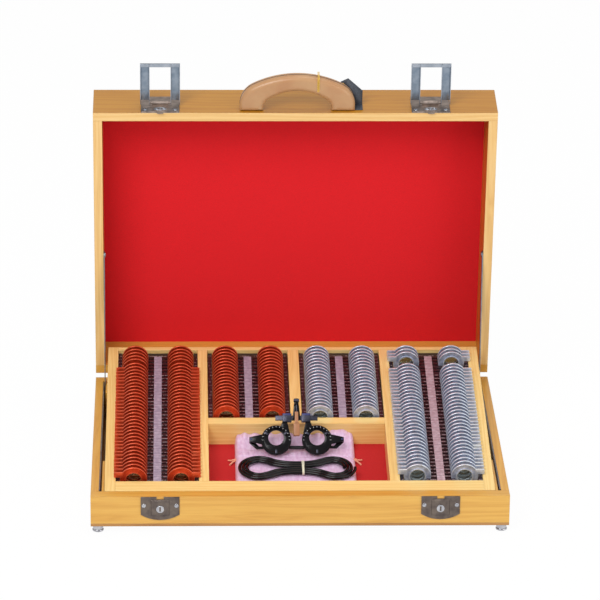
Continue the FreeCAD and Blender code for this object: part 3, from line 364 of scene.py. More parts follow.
def coated_card():
    """Dark dyed card with a waxed face: fine fibre specks."""
    material, tree, shader = start_material("waxed_card", Roughness=0.55)
    specks = add(tree, "TexNoise", {"Vector": object_place(tree), "Scale": 900.0, "Detail": 3.0})
    tone = add(tree, "ValToRGB", {"Fac": specks}, stops=[(0.35, "#2C3038"), (0.7, "#4A505C")])
    join_up(tree, shader, tone, None, specks, 0.00003)
    return material


QUARTER_TURN = pi / 2
SWUNG = radians(LID_OPEN)
BOX_TONES = ("#E4B758", "#DBA84A", "#C78F35")
LID_TONES = ("#F4D497", "#EBC47E", "#D9A862")
# Painted shade for the lid's faces that don't face the front, which lie at a glancing angle to the light.
LID_PAINTED_SHADE = "#CBAA4D"
TRAY_TONES = ("#FAE09E", "#F5D489", "#E2B86D")
EDGE_TONES = ("#BE8C4C", "#AE7C3E", "#926430")
PINE_ACROSS = lacquered_pine("pine_across", (0, 0, 0), BOX_TONES)
PINE_DEEP = lacquered_pine("pine_deep", (0, 0, -QUARTER_TURN), BOX_TONES)
PINE_BOTTOM = lacquered_pine("pine_bottom", (0, 0, 0), EDGE_TONES)
PINE_LID_FRONT = lacquered_pine("pine_lid_front", (SWUNG, 0, 0), LID_TONES, LID_PAINTED_SHADE)
PINE_LID_ACROSS = lacquered_pine("pine_lid_across", (SWUNG, 0, 0), BOX_TONES)
PINE_LID_DEEP = lacquered_pine("pine_lid_deep", (SWUNG, 0, -QUARTER_TURN), LID_TONES, LID_PAINTED_SHADE)
PINE_TRAY_ACROSS = lacquered_pine("pine_tray_across", (-TRAY_SLOPE, 0, 0), TRAY_TONES)
PINE_TRAY_DEEP = lacquered_pine("pine_tray_deep", (-TRAY_SLOPE, 0, -QUARTER_TURN), TRAY_TONES)
# Painted shade: a darker copy of the felt for the compartment floor, which lies in shade inside the case.
SHADED_FLOOR_FELT = flocked_felt("red_flocked_felt_painted_shade", "#C50610", "#AD040C")
FELT = flocked_felt("red_flocked_felt", "#E70818", "#CF0714")
# The second colour of each rim is a painted highlight on its corners.
ORANGE_RIM = anodised_rim("orange_anodised_aluminium", "#CB411F", "#F0734C", "#AE3014")
GREY_RIM = anodised_rim("grey_anodised_aluminium", "#BEC8E3", "#F5FAFA", "#99A1B9")
GLASS = ground_lens_glass()
RACK = rack_plastic()
CARD_STRIPS = printed_strip("lilac_card", "#9E90A4", "#B19097", "#4F3C4F")
NICKEL = plated_metal("dull_nickel_plate", "#7E7269", "#615754", 0.36)
STEEL = plated_metal("nickelled_steel", "#9AA2AC", "#7E868F", 0.34, (0.1, 1, 1))
# Painted highlight: a lighter copy of the nickelled steel for the hasps' flanges and the latch plates' raised
# beads.
HIGHLIGHT_STEEL = plated_metal("nickelled_steel_painted_highlight", "#B4BCC8", "#98A2AE", 0.3, (0.1, 1, 1))
LATCH_STEEL = plated_metal("smoky_nickelled_steel", "#AC9C92", "#847871", 0.36, (0.1, 1, 1))
SLIDE_NICKEL = plated_metal("satin_nickel", "#4C4C58", "#363640", 0.3)
# Painted shade: a darker copy of the nickelled steel for the floors of the hasps' channels.
CHANNEL_SHADE_STEEL = plated_metal("nickelled_steel_painted_shade", "#98A4B2", "#7C8A9A", 0.3, (0.1, 1, 1))
BRIGHT = plated_metal("polished_nickel", "#C8C8CC", "#A8A8B0", 0.2)
PEACH = moulded_plastic("peach_abs", "#BB9268", "#B28259", 0.32, depth=0.00001)
DARK_LINE_PLASTIC = moulded_plastic("grey_brown_line", "#5A4A40", "#463A32", 0.5)
BLACK_GLOSS = moulded_plastic("black_acetate", "#0E0C10", "#08080A", 0.14, depth=0.000005, shine=0.22)
# Violet-blue plastic; on the slides' caps it is a painted reflection.
BLUE_PLASTIC_AND_REFLECTION = moulded_plastic("violet_blue_plastic_and_reflection", "#3E4276", "#30345E", 0.3, shine=0.3)
NOSE_BROWN = moulded_plastic("brown_nylon", "#B07850", "#986440", 0.4)
SATIN = satin_cloth("#D2A8CA", "#E4C6E1")
RUBBER = moulded_plastic("glossy_black_rubber", "#0A0A0C", "#060608", 0.12, depth=0.00001, shine=0.3)
WHITE_THREAD = twisted_thread("white_cotton_thread", "#F4F0DC", "#CFC8A8")
YELLOW_THREAD = twisted_thread("yellow_cotton_thread", "#F0C83C", "#C89A20")
PEACH_CORD = twisted_thread("orange_pink_drawstring", "#F0A888", "#D8866A")
CARD = coated_card()
WHITE_MARK = moulded_plastic("white_printed_marks", "#E8E8E8", "#D8D8D8", 0.5)

NODE_FINISHES = {
    PINE_ACROSS: ["base_front_wall", "base_rear_wall"],
    PINE_BOTTOM: ["base_bottom"],
    PINE_DEEP: ["base_side_left", "base_side_right", "slot_fillers"],
    PINE_LID_FRONT: ["lid_front_wall", "lid_panel"],
    PINE_LID_ACROSS: ["lid_rear_wall"],
    PINE_LID_DEEP: ["lid_side_left", "lid_side_right"],
    PINE_TRAY_ACROSS: ["tray_front_rail", "tray_rear_rail", "tray_cross_panel", "tray_floor"],
    PINE_TRAY_DEEP: ["tray_sides", "tray_dividers"],
    FELT: ["lid_felt"],
    SHADED_FLOOR_FELT: ["compartment_felt"],
    RACK: ["lens_racks"],
    CARD_STRIPS: ["power_strips"],
    STEEL: ["hinge_base_leaves", "hinge_lid_leaves", "stay_bar_left", "stay_bar_right", "stay_tracks",
            "stay_rivets"],
    HIGHLIGHT_STEEL: ["latch_hasp_left", "latch_hasp_right"],
    LATCH_STEEL: ["latch_plates"],
}


def finish_nodes():
    for material, nodes in NODE_FINISHES.items():
        for node in nodes:
            mesh = frame["nodes"][node].data
            mesh.materials.clear()
            mesh.materials.append(material)


# Ways of making meshes, in millimetres

def lathe(profile, segments=40):
    """Mesh turned about Z from (radius, height) points; a radius of 0 closes it."""
    shape = bmesh.new()
    rings = []
    for radius, height in profile:
        if radius == 0:
            rings.append([shape.verts.new((0, 0, height))] * segments)
            continue
        turn = 2 * pi / segments
        rings.append([shape.verts.new((radius * cos(i * turn), radius * sin(i * turn), height))
                      for i in range(segments)])
    for low, high in zip(rings, rings[1:]):
        for i in range(segments):
            j = (i + 1) % segments
            corners = [low[i], low[j], high[j], high[i]]
            shape.faces.new([v for k, v in enumerate(corners) if v not in corners[:k]])
    return to_mesh(shape)


def to_mesh(shape):
    bmesh.ops.recalc_face_normals(shape, faces=shape.faces)
    mesh = bpy.data.meshes.new("shape")
    shape.to_mesh(mesh)
    shape.free()
    return mesh


def plate(outlines, low, high, rounding, steps=2):
    """Flat plate between two heights: an outline, any holes in it, and rounded edges."""
    curve = bpy.data.curves.new("outline", "CURVE")
    curve.dimensions = "2D"
    curve.fill_mode = "BOTH"
    curve.extrude = (high - low) / 2 - rounding
    curve.bevel_depth = rounding
    curve.bevel_resolution = steps
    curve.offset = -rounding
    for outline in outlines:
        spline = curve.splines.new("POLY")
        spline.points.add(len(outline) - 1)
        for point, (x, y) in zip(spline.points, outline):
            point.co = (x, y, 0, 1)
        spline.use_cyclic_u = True
    drawn = bpy.data.objects.new("outline", curve)
    mesh = bpy.data.meshes.new_from_object(drawn)
    bpy.data.objects.remove(drawn)
    bpy.data.curves.remove(curve)
    mesh.transform(at(0, 0, (low + high) / 2))
    return mesh


def arc(x, y, radius, start, end, steps=12):
    """Points on an arc, angles in degrees."""
    angles = [radians(start + (end - start) * i / steps) for i in range(steps + 1)]
    return [(x + radius * cos(a), y + radius * sin(a)) for a in angles]


def rectangle(x0, x1, y0, y1):
    return [(x0, y0), (x1, y0), (x1, y1), (x0, y1)]


def circle(x, y, radius, steps=32):
    return arc(x, y, radius, 0, 360, steps)[:-1]


def piece(name, parts, material, body, place, replaced=(), slot=None, smooth=35):
    """One object put in place from parts drawn in millimetres, each a mesh or a mesh and its matrix."""
    shape = bmesh.new()
    for part in parts:
        mesh, matrix = part if isinstance(part, tuple) else (part, STILL)
        start = len(shape.verts)
        shape.from_mesh(mesh)
        shape.verts.ensure_lookup_table()
        bmesh.ops.transform(shape, matrix=matrix, verts=shape.verts[start:])
    bmesh.ops.remove_doubles(shape, verts=shape.verts, dist=0.001)
    bmesh.ops.transform(shape, matrix=TO_METRES @ place, verts=shape.verts)
    mesh = bpy.data.meshes.new(name)
    shape.to_mesh(mesh)
    shape.free()
    mesh.materials.append(material)
    mesh.shade_smooth()
    mesh.set_sharp_from_angle(angle=radians(smooth))
    return settle(bpy.data.objects.new(name, mesh), body, replaced, slot)


def settle(thing, body, replaced=(), slot=None):
    bpy.context.scene.collection.objects.link(thing)
    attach(thing, body)
    if replaced:
        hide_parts(*replaced)
    return thing


def line(name, points, radius, material, body, place, closed=False, replaced=(), slot=None):
    """Round thread or wire along a smooth line through its points, drawn in millimetres."""
    curve = bpy.data.curves.new(name, "CURVE")
    curve.dimensions = "3D"
    curve.bevel_depth = radius * MM
    curve.bevel_resolution = 3
    curve.use_fill_caps = True
    spline = curve.splines.new("NURBS")
    spline.points.add(len(points) - 1)
    for point, place_mm in zip(spline.points, points):
        point.co = (*(TO_METRES @ place @ Vector(place_mm)), 1)
    spline.order_u = 3
    spline.use_endpoint_u = not closed
    spline.use_cyclic_u = closed
    curve.materials.append(material)
    return settle(bpy.data.objects.new(name, curve), body, replaced, slot)


# Cord hank on the pouch, and the thread round its waist

CORD_D = 4.6
CORD_PITCH = 5.2
CORD_TURNS = 3
HANK_X = -1.0
HANK_S = 93.0
HANK_LOBE_X = 53.5
HANK_LOBE_R = 28.0
HANK_WAIST = 13.2
POUCH_TOP = -23.5
HANK_T = POUCH_TOP + 0.6 + 1.0 + CORD_D / 2
TIE_X = 7.0
TIE_PITCH = 1.15
TIE_LEAN = 0.25


def tangent_points(centre, radius, start, turn, count):
    """Control points about an arc, so that the smooth line they give stays on it."""
    step = turn / count
    reach = radius / cos(radians(step / 2))
    return [(centre[0] + reach * cos(radians(start + step * (i + 0.5))),
             centre[1] + reach * sin(radians(start + step * (i + 0.5))), HANK_T)
            for i in range(count)]


def make_hank():
    waist_r = (HANK_LOBE_X ** 2 + HANK_WAIST ** 2 - HANK_LOBE_R ** 2) / (2 * (HANK_LOBE_R - HANK_WAIST))
    waist_s = HANK_WAIST + waist_r
    reach = hypot(HANK_LOBE_X, waist_s)
    step = CORD_PITCH * (2 * reach - CORD_PITCH) / (2 * (reach + HANK_LOBE_X - CORD_PITCH))
    wide = degrees(atan2(waist_s, -HANK_LOBE_X))
    turned = degrees(atan2(waist_s, step - HANK_LOBE_X))
    right = (HANK_X + HANK_LOBE_X, HANK_S)
    right_in = (right[0] - step, HANK_S)
    left = (HANK_X - HANK_LOBE_X, HANK_S)
    behind = (HANK_X, HANK_S + waist_s)
    before = (HANK_X, HANK_S - waist_s)
    inner = HANK_LOBE_R - CORD_TURNS * CORD_PITCH + step
    points = [(right_in[0] + inner, HANK_S, HANK_T)]
    for i in range(CORD_TURNS):
        lobe_r = HANK_LOBE_R - (CORD_TURNS - 1 - i) * CORD_PITCH
        points += tangent_points(right_in, lobe_r - CORD_PITCH + step, 0, turned, 4)
        points += tangent_points(behind, reach - lobe_r, turned - 180, 180 - turned - wide, 2)
        points += tangent_points(left, lobe_r, 180 - wide, 2 * wide, 7)
        points += tangent_points(before, reach - lobe_r, wide, 180 - 2 * wide, 2)
        points += tangent_points(right, lobe_r, -wide, wide, 4)
    points.append((right[0] + HANK_LOBE_R, HANK_S, HANK_T))
    hank = line("cord_hank", points, CORD_D / 2, RUBBER, "base", IN_TRAY, replaced=["lens_cord"],
                slot="cord_rubber")
    start = TO_METRES @ IN_TRAY @ Vector(points[0])


def make_tie():
    """Cotton thread wound three times round the hank's waist, with a small knot on top."""
    half_s = HANK_WAIST + 0.6 + CORD_D / 2
    half_t = CORD_D / 2 + 0.7
    for number in range(3):
        ring = []
        for k in range(40):
            a = 2 * pi * k / 40
            s = copysign(abs(cos(a)) ** 0.5, cos(a))
            t = copysign(abs(sin(a)) ** 0.5, sin(a))
            x = TIE_X + (number - 1) * (TIE_PITCH + TIE_LEAN * s)
            ring.append((x, HANK_S + half_s * s, HANK_T + half_t * t))
        line("tie_winding_%d" % (number + 1), ring, 0.55, WHITE_THREAD, "base", IN_TRAY, True,
             () if number else ["cord_tie"], "tie_thread")
    top = HANK_T + half_t + 0.5
    knot = [(TIE_X + x, HANK_S + s, top + t)
            for x, s, t in ((-1.4, -3.0, 0), (0, -4.0, 0.3), (1.4, -3.0, 0), (0, -2.0, 0.3))]
    line("tie_knot", knot, 0.6, WHITE_THREAD, "base", IN_TRAY, True, slot="tie_thread")


# Trial lenses

LENS_R = 19.0
LENS_T = -2.0
RIM_T = 2.4
APERTURE_R = 10.5
BEAD_W = 2.0
BEAD_PROUD = 0.6
TAB_REACH = 27.5
TAB_LOW = 3.0
TAB_HIGH = 11.0
INNER_PITCH = 8.95
FRONT_RAIL = 27.0
REAR_RAIL = 9.0
REAR_GAP = 16.5
REAR_S = TRAY_DEPTH / cos(TRAY_SLOPE) - REAR_RAIL - REAR_GAP
INNER_COUNT = 20
# Lenses in an outer row's rear and front groups, and the gap from the front rail to the front lens
LEFT_ROW = (5, 32, 8.6)
RIGHT_ROW = (3, 31, 15.3)
ROW_X = 33.0
OUTER_BAY_X = 198.0
INNER_BAY_X = 67.0


def rim_profile():
    """Half section of a rim: thickness from back to front, the aperture's bead and a dished face."""
    half = RIM_T / 2
    bead = APERTURE_R + BEAD_W
    front = [(APERTURE_R, half + BEAD_PROUD - 0.3), (APERTURE_R + 0.4, half + BEAD_PROUD),
             (bead - 0.4, half + BEAD_PROUD), (bead, half - 0.2), (bead + 0.6, half - 0.25),
             (LENS_R - 1.4, half - 0.25), (LENS_R - 0.9, half), (LENS_R - 0.35, half), (LENS_R, half - 0.35)]
    back = [(LENS_R, 0.35 - half), (LENS_R - 0.35, -half), (bead, -half), (APERTURE_R, 0.3 - half)]
    return front + back + front[:1]


def lens_parts(tab_side):
    """Rim and tab of one lens, drawn flat: x right, y up and z to the front."""
    parts = [lathe(rim_profile(), 44)]
    if tab_side:
        root = sqrt(LENS_R ** 2 - TAB_LOW ** 2) - 2.5
        corner = 1.6
        outline = [(root, TAB_LOW), (TAB_REACH - corner, TAB_LOW)]
        outline += arc(TAB_REACH - corner, TAB_LOW + corner, corner, -90, 0, 4)
        outline += arc(TAB_REACH - corner, TAB_HIGH - corner, corner, 0, 90, 4)
        outline += [(root - 2.5, TAB_HIGH)]
        if tab_side < 0:
            outline = [(-x, y) for x, y in reversed(outline)]
        parts.append(plate([outline], -RIM_T / 2 + 0.15, RIM_T / 2 - 0.15, 0.25, 1))
    return parts


def glass_mesh():
    crown = 0.8
    half = APERTURE_R / 2
    rim = APERTURE_R - 0.1
    return lathe([(0, crown), (half, crown * 0.8), (rim, 0.1), (rim, -0.5), (half, -0.3), (0, -0.2)], 32)


def row_places(bay, side):
    """(s, side of the tab or 0) of a row's lenses, rear group first and front lens last."""
    if bay == "inner":
        return [(REAR_S - i * INNER_PITCH, 0) for i in range(INNER_COUNT)]
    rear, front, gap = LEFT_ROW if bay == "left" else RIGHT_ROW
    places = [(REAR_S - i * PITCH, side if bay == "right" else 0) for i in range(rear)]
    return places + [(FRONT_RAIL + gap + i * PITCH, side) for i in reversed(range(front))]


def make_lenses():
    bays = [("lens_rows_left", "left", -OUTER_BAY_X, ORANGE_RIM, "orange_rims"),
            ("lens_rows_mid_left", "inner", -INNER_BAY_X, ORANGE_RIM, "orange_rims"),
            ("lens_rows_mid_right", "inner", INNER_BAY_X, GREY_RIM, "grey_rims"),
            ("lens_rows_right", "right", OUTER_BAY_X, GREY_RIM, "grey_rims")]
    shapes = {side: lens_parts(side) for side in (-1, 0, 1)}
    pane = glass_mesh()
    chance = random.Random(4)
    number = 0
    for node, bay, bay_x, rim, slot in bays:
        rims = []
        panes = []
        for side in (-1, 1):
            x = bay_x + side * ROW_X
            places = row_places(bay, side)
            for s, tab in places[:-1]:
                lean = swing(chance.uniform(-1.2, 1.2))
                seat = at(x, s, LENS_T) @ UPRIGHT @ lean
                rims += [(mesh, seat) for mesh in shapes[tab]]
                panes.append((pane, seat))
            number += 1
            s, tab = places[-1]
            seat = IN_TRAY @ at(x, s, LENS_T) @ UPRIGHT
            body = "lens_%d" % number
            front = "front_lens_%d" % number
            piece(front + "_rim", shapes[tab], rim, body, seat, [front], slot)
            piece(front + "_glass", [pane], GLASS, body, seat)
        piece(node + "_rims", rims, rim, "base", IN_TRAY, [node], slot)
        piece(node + "_glass", panes, GLASS, "base", IN_TRAY)


# Metal fittings

def make_feet():
    """Turned feet: a grooved rim, a neck and a bevelled sole."""
    profile = [(0, 0), (6.6, 0), (8.0, 0.9), (8.0, 2.2), (7.5, 3.0), (6.9, 3.1), (6.9, 3.6), (7.2, 4.0),
               (7.2, 9.4), (7.0, 10.0), (0, 10.0)]
    foot = lathe(profile, 40)
    low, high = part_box("feet")
    reach = 8.0
    places = [(x, y) for x in (low.x / MM + reach, high.x / MM - reach)
              for y in (low.y / MM + reach, high.y / MM - reach)]
    piece("turned_feet", [(foot, at(x, y)) for x, y in places], BRIGHT, "base", STILL,
          ["feet"], "nickel")


LATCH_X = 194.0
PLATE_T = 1.4
LOCK_W = 53.5
LOCK_H = 34.9
LOCK_SIDE_H = 27.0
HOUSING_W = 26.0
HOUSING_H = 25.0
HOUSING_T = 1.4
PLUG_R = 5.5
PLUG_DROP = 18.0
SCREW_X = 22.5
SCREW_DROP = 13.5
LATCH_T = 1.2
AXLE_UP = 25.0


def lock_face():
    """Lock plate's outline: a notch at the top and a bowed foot, x right and y up from the joint."""
    half = LOCK_W / 2
    sag = LOCK_H - LOCK_SIDE_H
    radius = (half ** 2 + sag ** 2) / (2 * sag)
    spread = degrees(asin(half / radius))
    foot = arc(0, radius - LOCK_H, radius, 270 - spread, 270 + spread, 16)
    return foot + [(half, -0.3), (5.0, -0.3), (5.0, -4.0), (-5.0, -4.0), (-5.0, -0.3), (-half, -0.3)]


def frustum(outer, inner, low, high):
    """Raised block between a rectangle and a smaller one above it."""
    shape = bmesh.new()
    rows = [[shape.verts.new((x, y, z)) for x, y in rectangle(*box)]
            for box, z in ((outer, low), (inner, high))]
    shape.faces.new(rows[0])
    shape.faces.new(rows[1])
    for i in range(4):
        j = (i + 1) % 4
        shape.faces.new([rows[0][i], rows[0][j], rows[1][j], rows[1][i]])
    bmesh.ops.bevel(shape, geom=list(shape.edges), offset=0.35, segments=2, affect="EDGES")
    return to_mesh(shape)


def make_locks():
    half = HOUSING_W / 2
    low = -4.0 - HOUSING_H
    housing = frustum((-half, half, low, -4.0), (-half + 1.2, half - 1.2, low + 1.2, -5.2), PLATE_T,
                      PLATE_T + HOUSING_T)
    plates = plate([lock_face()], 0, PLATE_T, 0.35)
    dome = ((0, 0.75), (1.4, 0.7), (2.4, 0.45), (3.0, 0), (0, 0))
    head = lathe([(radius, PLATE_T + rise) for radius, rise in dome], 24)
    # Painted shade: black blocks that show through the screw heads' domes stand for the shade in their slots.
    groove = frustum((-2.5, 2.5, -0.35, 0.35), (-2.4, 2.4, -0.3, 0.3), PLATE_T + 0.3, PLATE_T + 0.78)
    collar = lathe([(PLUG_R, PLATE_T + 1.0), (PLUG_R + 0.05, PLATE_T + HOUSING_T + 0.1),
                    (PLUG_R + 0.9, PLATE_T + HOUSING_T + 0.1), (PLUG_R + 1.2, PLATE_T + 1.2)], 32)
    face = PLATE_T + HOUSING_T + 0.6
    plug = plate([circle(0, 0, PLUG_R - 0.05), rectangle(-1.1, 1.1, -3.4, 3.4)], face - 1.2, face, 0.2)
    rim = PLUG_R - 0.4
    # Painted shade: a black disc behind the plug's keyway stands for the shade inside the lock.
    back = lathe([(0, face - 1.1), (rim, face - 1.1), (rim, face - 1.3), (0, face - 1.3)], 24)
    parts = []
    screws = []
    slots = []
    for side, name in SIDES:
        seat = at(side * LATCH_X, FRONT, MATE) @ UPRIGHT
        at_plug = seat @ at(0, -PLUG_DROP)
        parts += [(plates, seat), (housing, seat), (collar, at_plug)]
        for screw in (-1, 1):
            turn = Matrix.Rotation(0.5 + side * screw, 4, "Z")
            at_screw = seat @ at(screw * SCREW_X, -SCREW_DROP) @ turn
            screws.append((head, at_screw))
            slots.append((groove, at_screw))
        piece("key_plug_" + name, [plug], BRIGHT, "lock_" + name, at_plug, ["lock_cylinder_" + name],
              "nickel")
        piece("keyway_shade_" + name, [back], BLACK_GLOSS, "lock_" + name, at_plug)
    piece("lock_plates_pressed", parts, NICKEL, "base", STILL, ["lock_plates"], "nickel")
    piece("lock_screw_heads", screws, BRIGHT, "base", STILL, ["lock_screws"], "nickel")
    piece("lock_screw_slot_shade", slots, BLACK_GLOSS, "base", STILL)


def ellipse(half_x, half_y, y):
    return [(half_x * x, y + half_y * t) for x, t in circle(0, 0, 1.0, 36)]


def make_latches():
    """Embossing and screws of the latch plates, and painted shade on the floors of the hasps' channel arms:
    darker plates laid in the channels.
    """
    cartouche = plate([ellipse(11.0, 5.2, 10.0)], LATCH_T - 0.2, LATCH_T + 0.5, 0.3)
    bead = plate([ellipse(9.2, 3.9, 10.0), ellipse(8.2, 3.0, 10.0)], LATCH_T + 0.3, LATCH_T + 1.1, 0.35)
    scroll = plate([ellipse(1.5, 1.2, 10.0)], LATCH_T + 0.3, LATCH_T + 1.0, 0.3)
    ridge = plate([rectangle(-26.0, 26.0, 1.2, 2.4)], LATCH_T - 0.2, LATCH_T + 0.5, 0.3)
    crest = plate([rectangle(-26.0, 26.0, 17.4, 18.4)], LATCH_T - 0.2, LATCH_T + 0.4, 0.25)
    dome = ((0, 0.65), (1.5, 0.6), (2.4, 0.35), (2.9, 0), (0, 0))
    head = lathe([(radius, LATCH_T + rise) for radius, rise in dome], 24)
    # Painted shade: black blocks that show through the screw heads stand for the shade in their slots.
    groove = frustum((-2.4, 2.4, -0.35, 0.35), (-2.3, 2.3, -0.3, 0.3), LATCH_T + 0.2, LATCH_T + 0.68)
    # Painted shade: a darker steel plate laid on each channel's floor, inside the hasp's arm.
    channel = plate([rectangle(16.1, 27.4, 8.2, 60.3)], 1.25, 1.5, 0.08)
    raised = []
    bright = []
    screws = []
    slots = []
    for side, name in SIDES:
        seat = IN_LID @ at(side * LATCH_X, FRONT, MATE) @ UPRIGHT
        raised += [(mesh, seat) for mesh in (cartouche, ridge, crest)]
        # The raised bead and scrolls take the lighter steel as a painted highlight.
        bright.append((bead, seat))
        bright += [(scroll, seat @ at(x, 0)) for x in (-5.0, 0, 5.0)]
        for x in (-21.5, 21.5):
            at_screw = seat @ at(x, 9.0) @ Matrix.Rotation(0.4 + x, 4, "Z")
            screws.append((head, at_screw))
            slots.append((groove, at_screw))
        seat = IN_LID @ out_of_lid(side * LATCH_X, AXLE_UP)
        arms = [(channel, seat), (channel, seat @ at(-43.5, 0))]
        piece("hasp_channels_" + name, arms, CHANNEL_SHADE_STEEL, "hasp_" + name, STILL)
    piece("latch_embossing", raised, LATCH_STEEL, "lid", STILL)
    piece("latch_cartouches", bright, HIGHLIGHT_STEEL, "lid", STILL)
    piece("latch_screw_heads", screws, BRIGHT, "lid", STILL)
    piece("latch_screw_slot_shade", slots, BLACK_GLOSS, "lid", STILL)


# Handle, thread and tag

HANDLE_X = 2.5
HANDLE_DEPTH = 22.0
HANDLE_UP = 4.0
# Half width, height, flank radius and height of the flank's centre of each arch
BOW_OUTSIDE = (82.5, 54.0, 34.0, 8.0)
BOW_INSIDE = (48.5, 30.5, 16.0, 4.0)
TOP_LINE = (82.4, 53.9, 34.0, 8.0)


def arch(half, height, flank_r, spring, steps=14):
    """Three-centred arch from its left foot to its right foot, x right and y out from the lid."""
    reach = half - flank_r
    crown_r = (reach ** 2 + (height - spring) ** 2 - flank_r ** 2) / (2 * (height - spring - flank_r))
    crown_h = height - crown_r
    lean = degrees(atan2(spring - crown_h, reach))
    points = [(-half, 0)]
    points += arc(-reach, spring, flank_r, 180, 180 - lean, steps)
    points += arc(0, crown_h, crown_r, 180 - lean, lean, 2 * steps)[1:]
    points += arc(reach, spring, flank_r, lean, 0, steps)[1:]
    return points + [(half, 0)]


def out_of_lid(x, up):
    """Seat of what is drawn x right and y outwards on the lid's front, z up the shut lid from the joint."""
    return at(x, FRONT, MATE + up) @ Matrix.Scale(-1, 4, (0, 1, 0))


def make_handle():
    outline = arch(*BOW_OUTSIDE) + arch(*BOW_INSIDE)[::-1]
    bow = plate([outline], 0, HANDLE_DEPTH, 7.5, 8)
    seat = IN_LID @ out_of_lid(HANDLE_X, HANDLE_UP)
    piece("bow_handle", [bow], PEACH, "lid", seat, ["handle"], "handle_plastic", 60)
    # A thin dark grey-brown line along the top of the handle's arch.
    top_line = [(x, y + 0.15, HANDLE_DEPTH / 2) for x, y in arch(*TOP_LINE)[1:-1]]
    line("handle_top_line", top_line, 0.5, DARK_LINE_PLASTIC, "lid", seat)


def make_tag():
    seat = IN_LID @ out_of_lid(HANDLE_X, HANDLE_UP)
    across = 29.0
    top = 54.3
    under = 29.4
    for number, dx in enumerate((0, 1.6)):
        x = across + dx
        loop = [(x, top, 2), (x, top, HANDLE_DEPTH - 2), (x + 0.4, top - 3, HANDLE_DEPTH + 0.6),
                (x + 0.4, under + 3, HANDLE_DEPTH + 0.6), (x, under, HANDLE_DEPTH - 2), (x, under, 2),
                (x - 0.4, under + 3, -0.6), (x - 0.4, top - 3, -0.6)]
        line("tag_thread_loop_%d" % (number + 1), loop, 0.55, YELLOW_THREAD, "lid", seat, True)
    lead = [(across + 1, under + 8, HANDLE_DEPTH + 0.8), (across + 12, under + 10, HANDLE_DEPTH + 1.4),
            (across + 27, under + 6, HANDLE_DEPTH + 1.2), (67, 34, HANDLE_DEPTH + 1.0)]
    line("tag_thread_lead", lead, 0.5, YELLOW_THREAD, "lid", seat)

    foot = 82.8
    back = HANDLE_DEPTH + 0.4
    leaf = [(foot, 0.5), (foot + 11, 0.5), (foot + 11, 23), (foot - 10, 42), (foot - 21, 36.5)]
    shape = bmesh.new()
    corners = [shape.verts.new((x, y, back + (1.2 if y > 30 else 0.2))) for x, y in leaf]
    low = [shape.verts.new((foot, 0.5, back - 17)), shape.verts.new((foot + 11, 0.5, back - 17))]
    shape.faces.new(corners)
    shape.faces.new([low[0], low[1], corners[1], corners[0]])
    bmesh.ops.subdivide_edges(shape, edges=list(shape.edges), cuts=3, use_grid_fill=True)
    for vert in shape.verts:
        vert.co.z += 0.25 * noise.noise(vert.co * 0.09)
    card = to_mesh(shape)
    tag = piece("folded_tag", [card], CARD, "lid", seat, ["handle_tag"], "tag_card")
    thick = tag.modifiers.new("card", "SOLIDIFY")
    thick.thickness = 0.6 * MM
    thick.offset = 0


# Pouch

POUCH_LEFT = -88.0
POUCH_RIGHT = 82.0
POUCH_FRONT = 60.0
POUCH_REAR = 179.5
POUCH_FLOOR = -34.0
HEM_S = 131.0
# How far each end's points lie outside the pouch, behind the hem and above the floor
DRAWSTRING_ENDS = {"upper": ((-2, 0, 5.5), (2, 0, 4.0), (6, 1, 1.8), (10, 3, 1.4)),
                   "lower": ((-2, -2, 5.0), (2, -3, 3.6), (6, -6, 1.5), (8, -10, 1.4))}


def pouch_height(x, s):
    """Height of the pouch's top at a place of the tray: a soft slab, its gathered mouth risen at the rear."""
    rim = min(x - POUCH_LEFT, POUCH_RIGHT - x, s - POUCH_FRONT, 60)
    roll = sqrt(max(0.0, 1 - (1 - min(rim / 7, 1)) ** 2))
    top = (POUCH_TOP - POUCH_FLOOR) * roll
    behind = max(0.0, min(1.0, (s - 150) / 20)) ** 1.5
    corner = max(0.0, 1 - abs(x - 60) / 24)
    gathers = 0.5 + 0.5 * sin(x * 0.42 + 1.5 * sin(x * 0.07))
    top += behind * roll * (6.5 + 8.0 * corner + 3.0 * gathers)
    point = Vector((x * 0.03, s * 0.045, 0.3))
    crease = 1 - abs(noise.noise(point * 1.6 + Vector((0.5, 2.1, 0))) * 2)
    ruck = noise.noise(Vector((x * 0.05 + s * 0.02, s * 0.04, 1.7)))
    hem = exp(-((s - HEM_S) / 1.6) ** 2)
    pucker = 0.5 + 0.5 * sin(x * 0.9 + 1.2 * sin(x * 0.05))
    near_hem = exp(-((s - HEM_S - 5) / 6) ** 2)
    top -= (0.9 * max(crease, 0) ** 4 + 0.7 * (ruck + 0.5) + 1.3 * hem + 0.7 * pucker * near_hem) * roll
    return POUCH_FLOOR + max(top, 0.25)


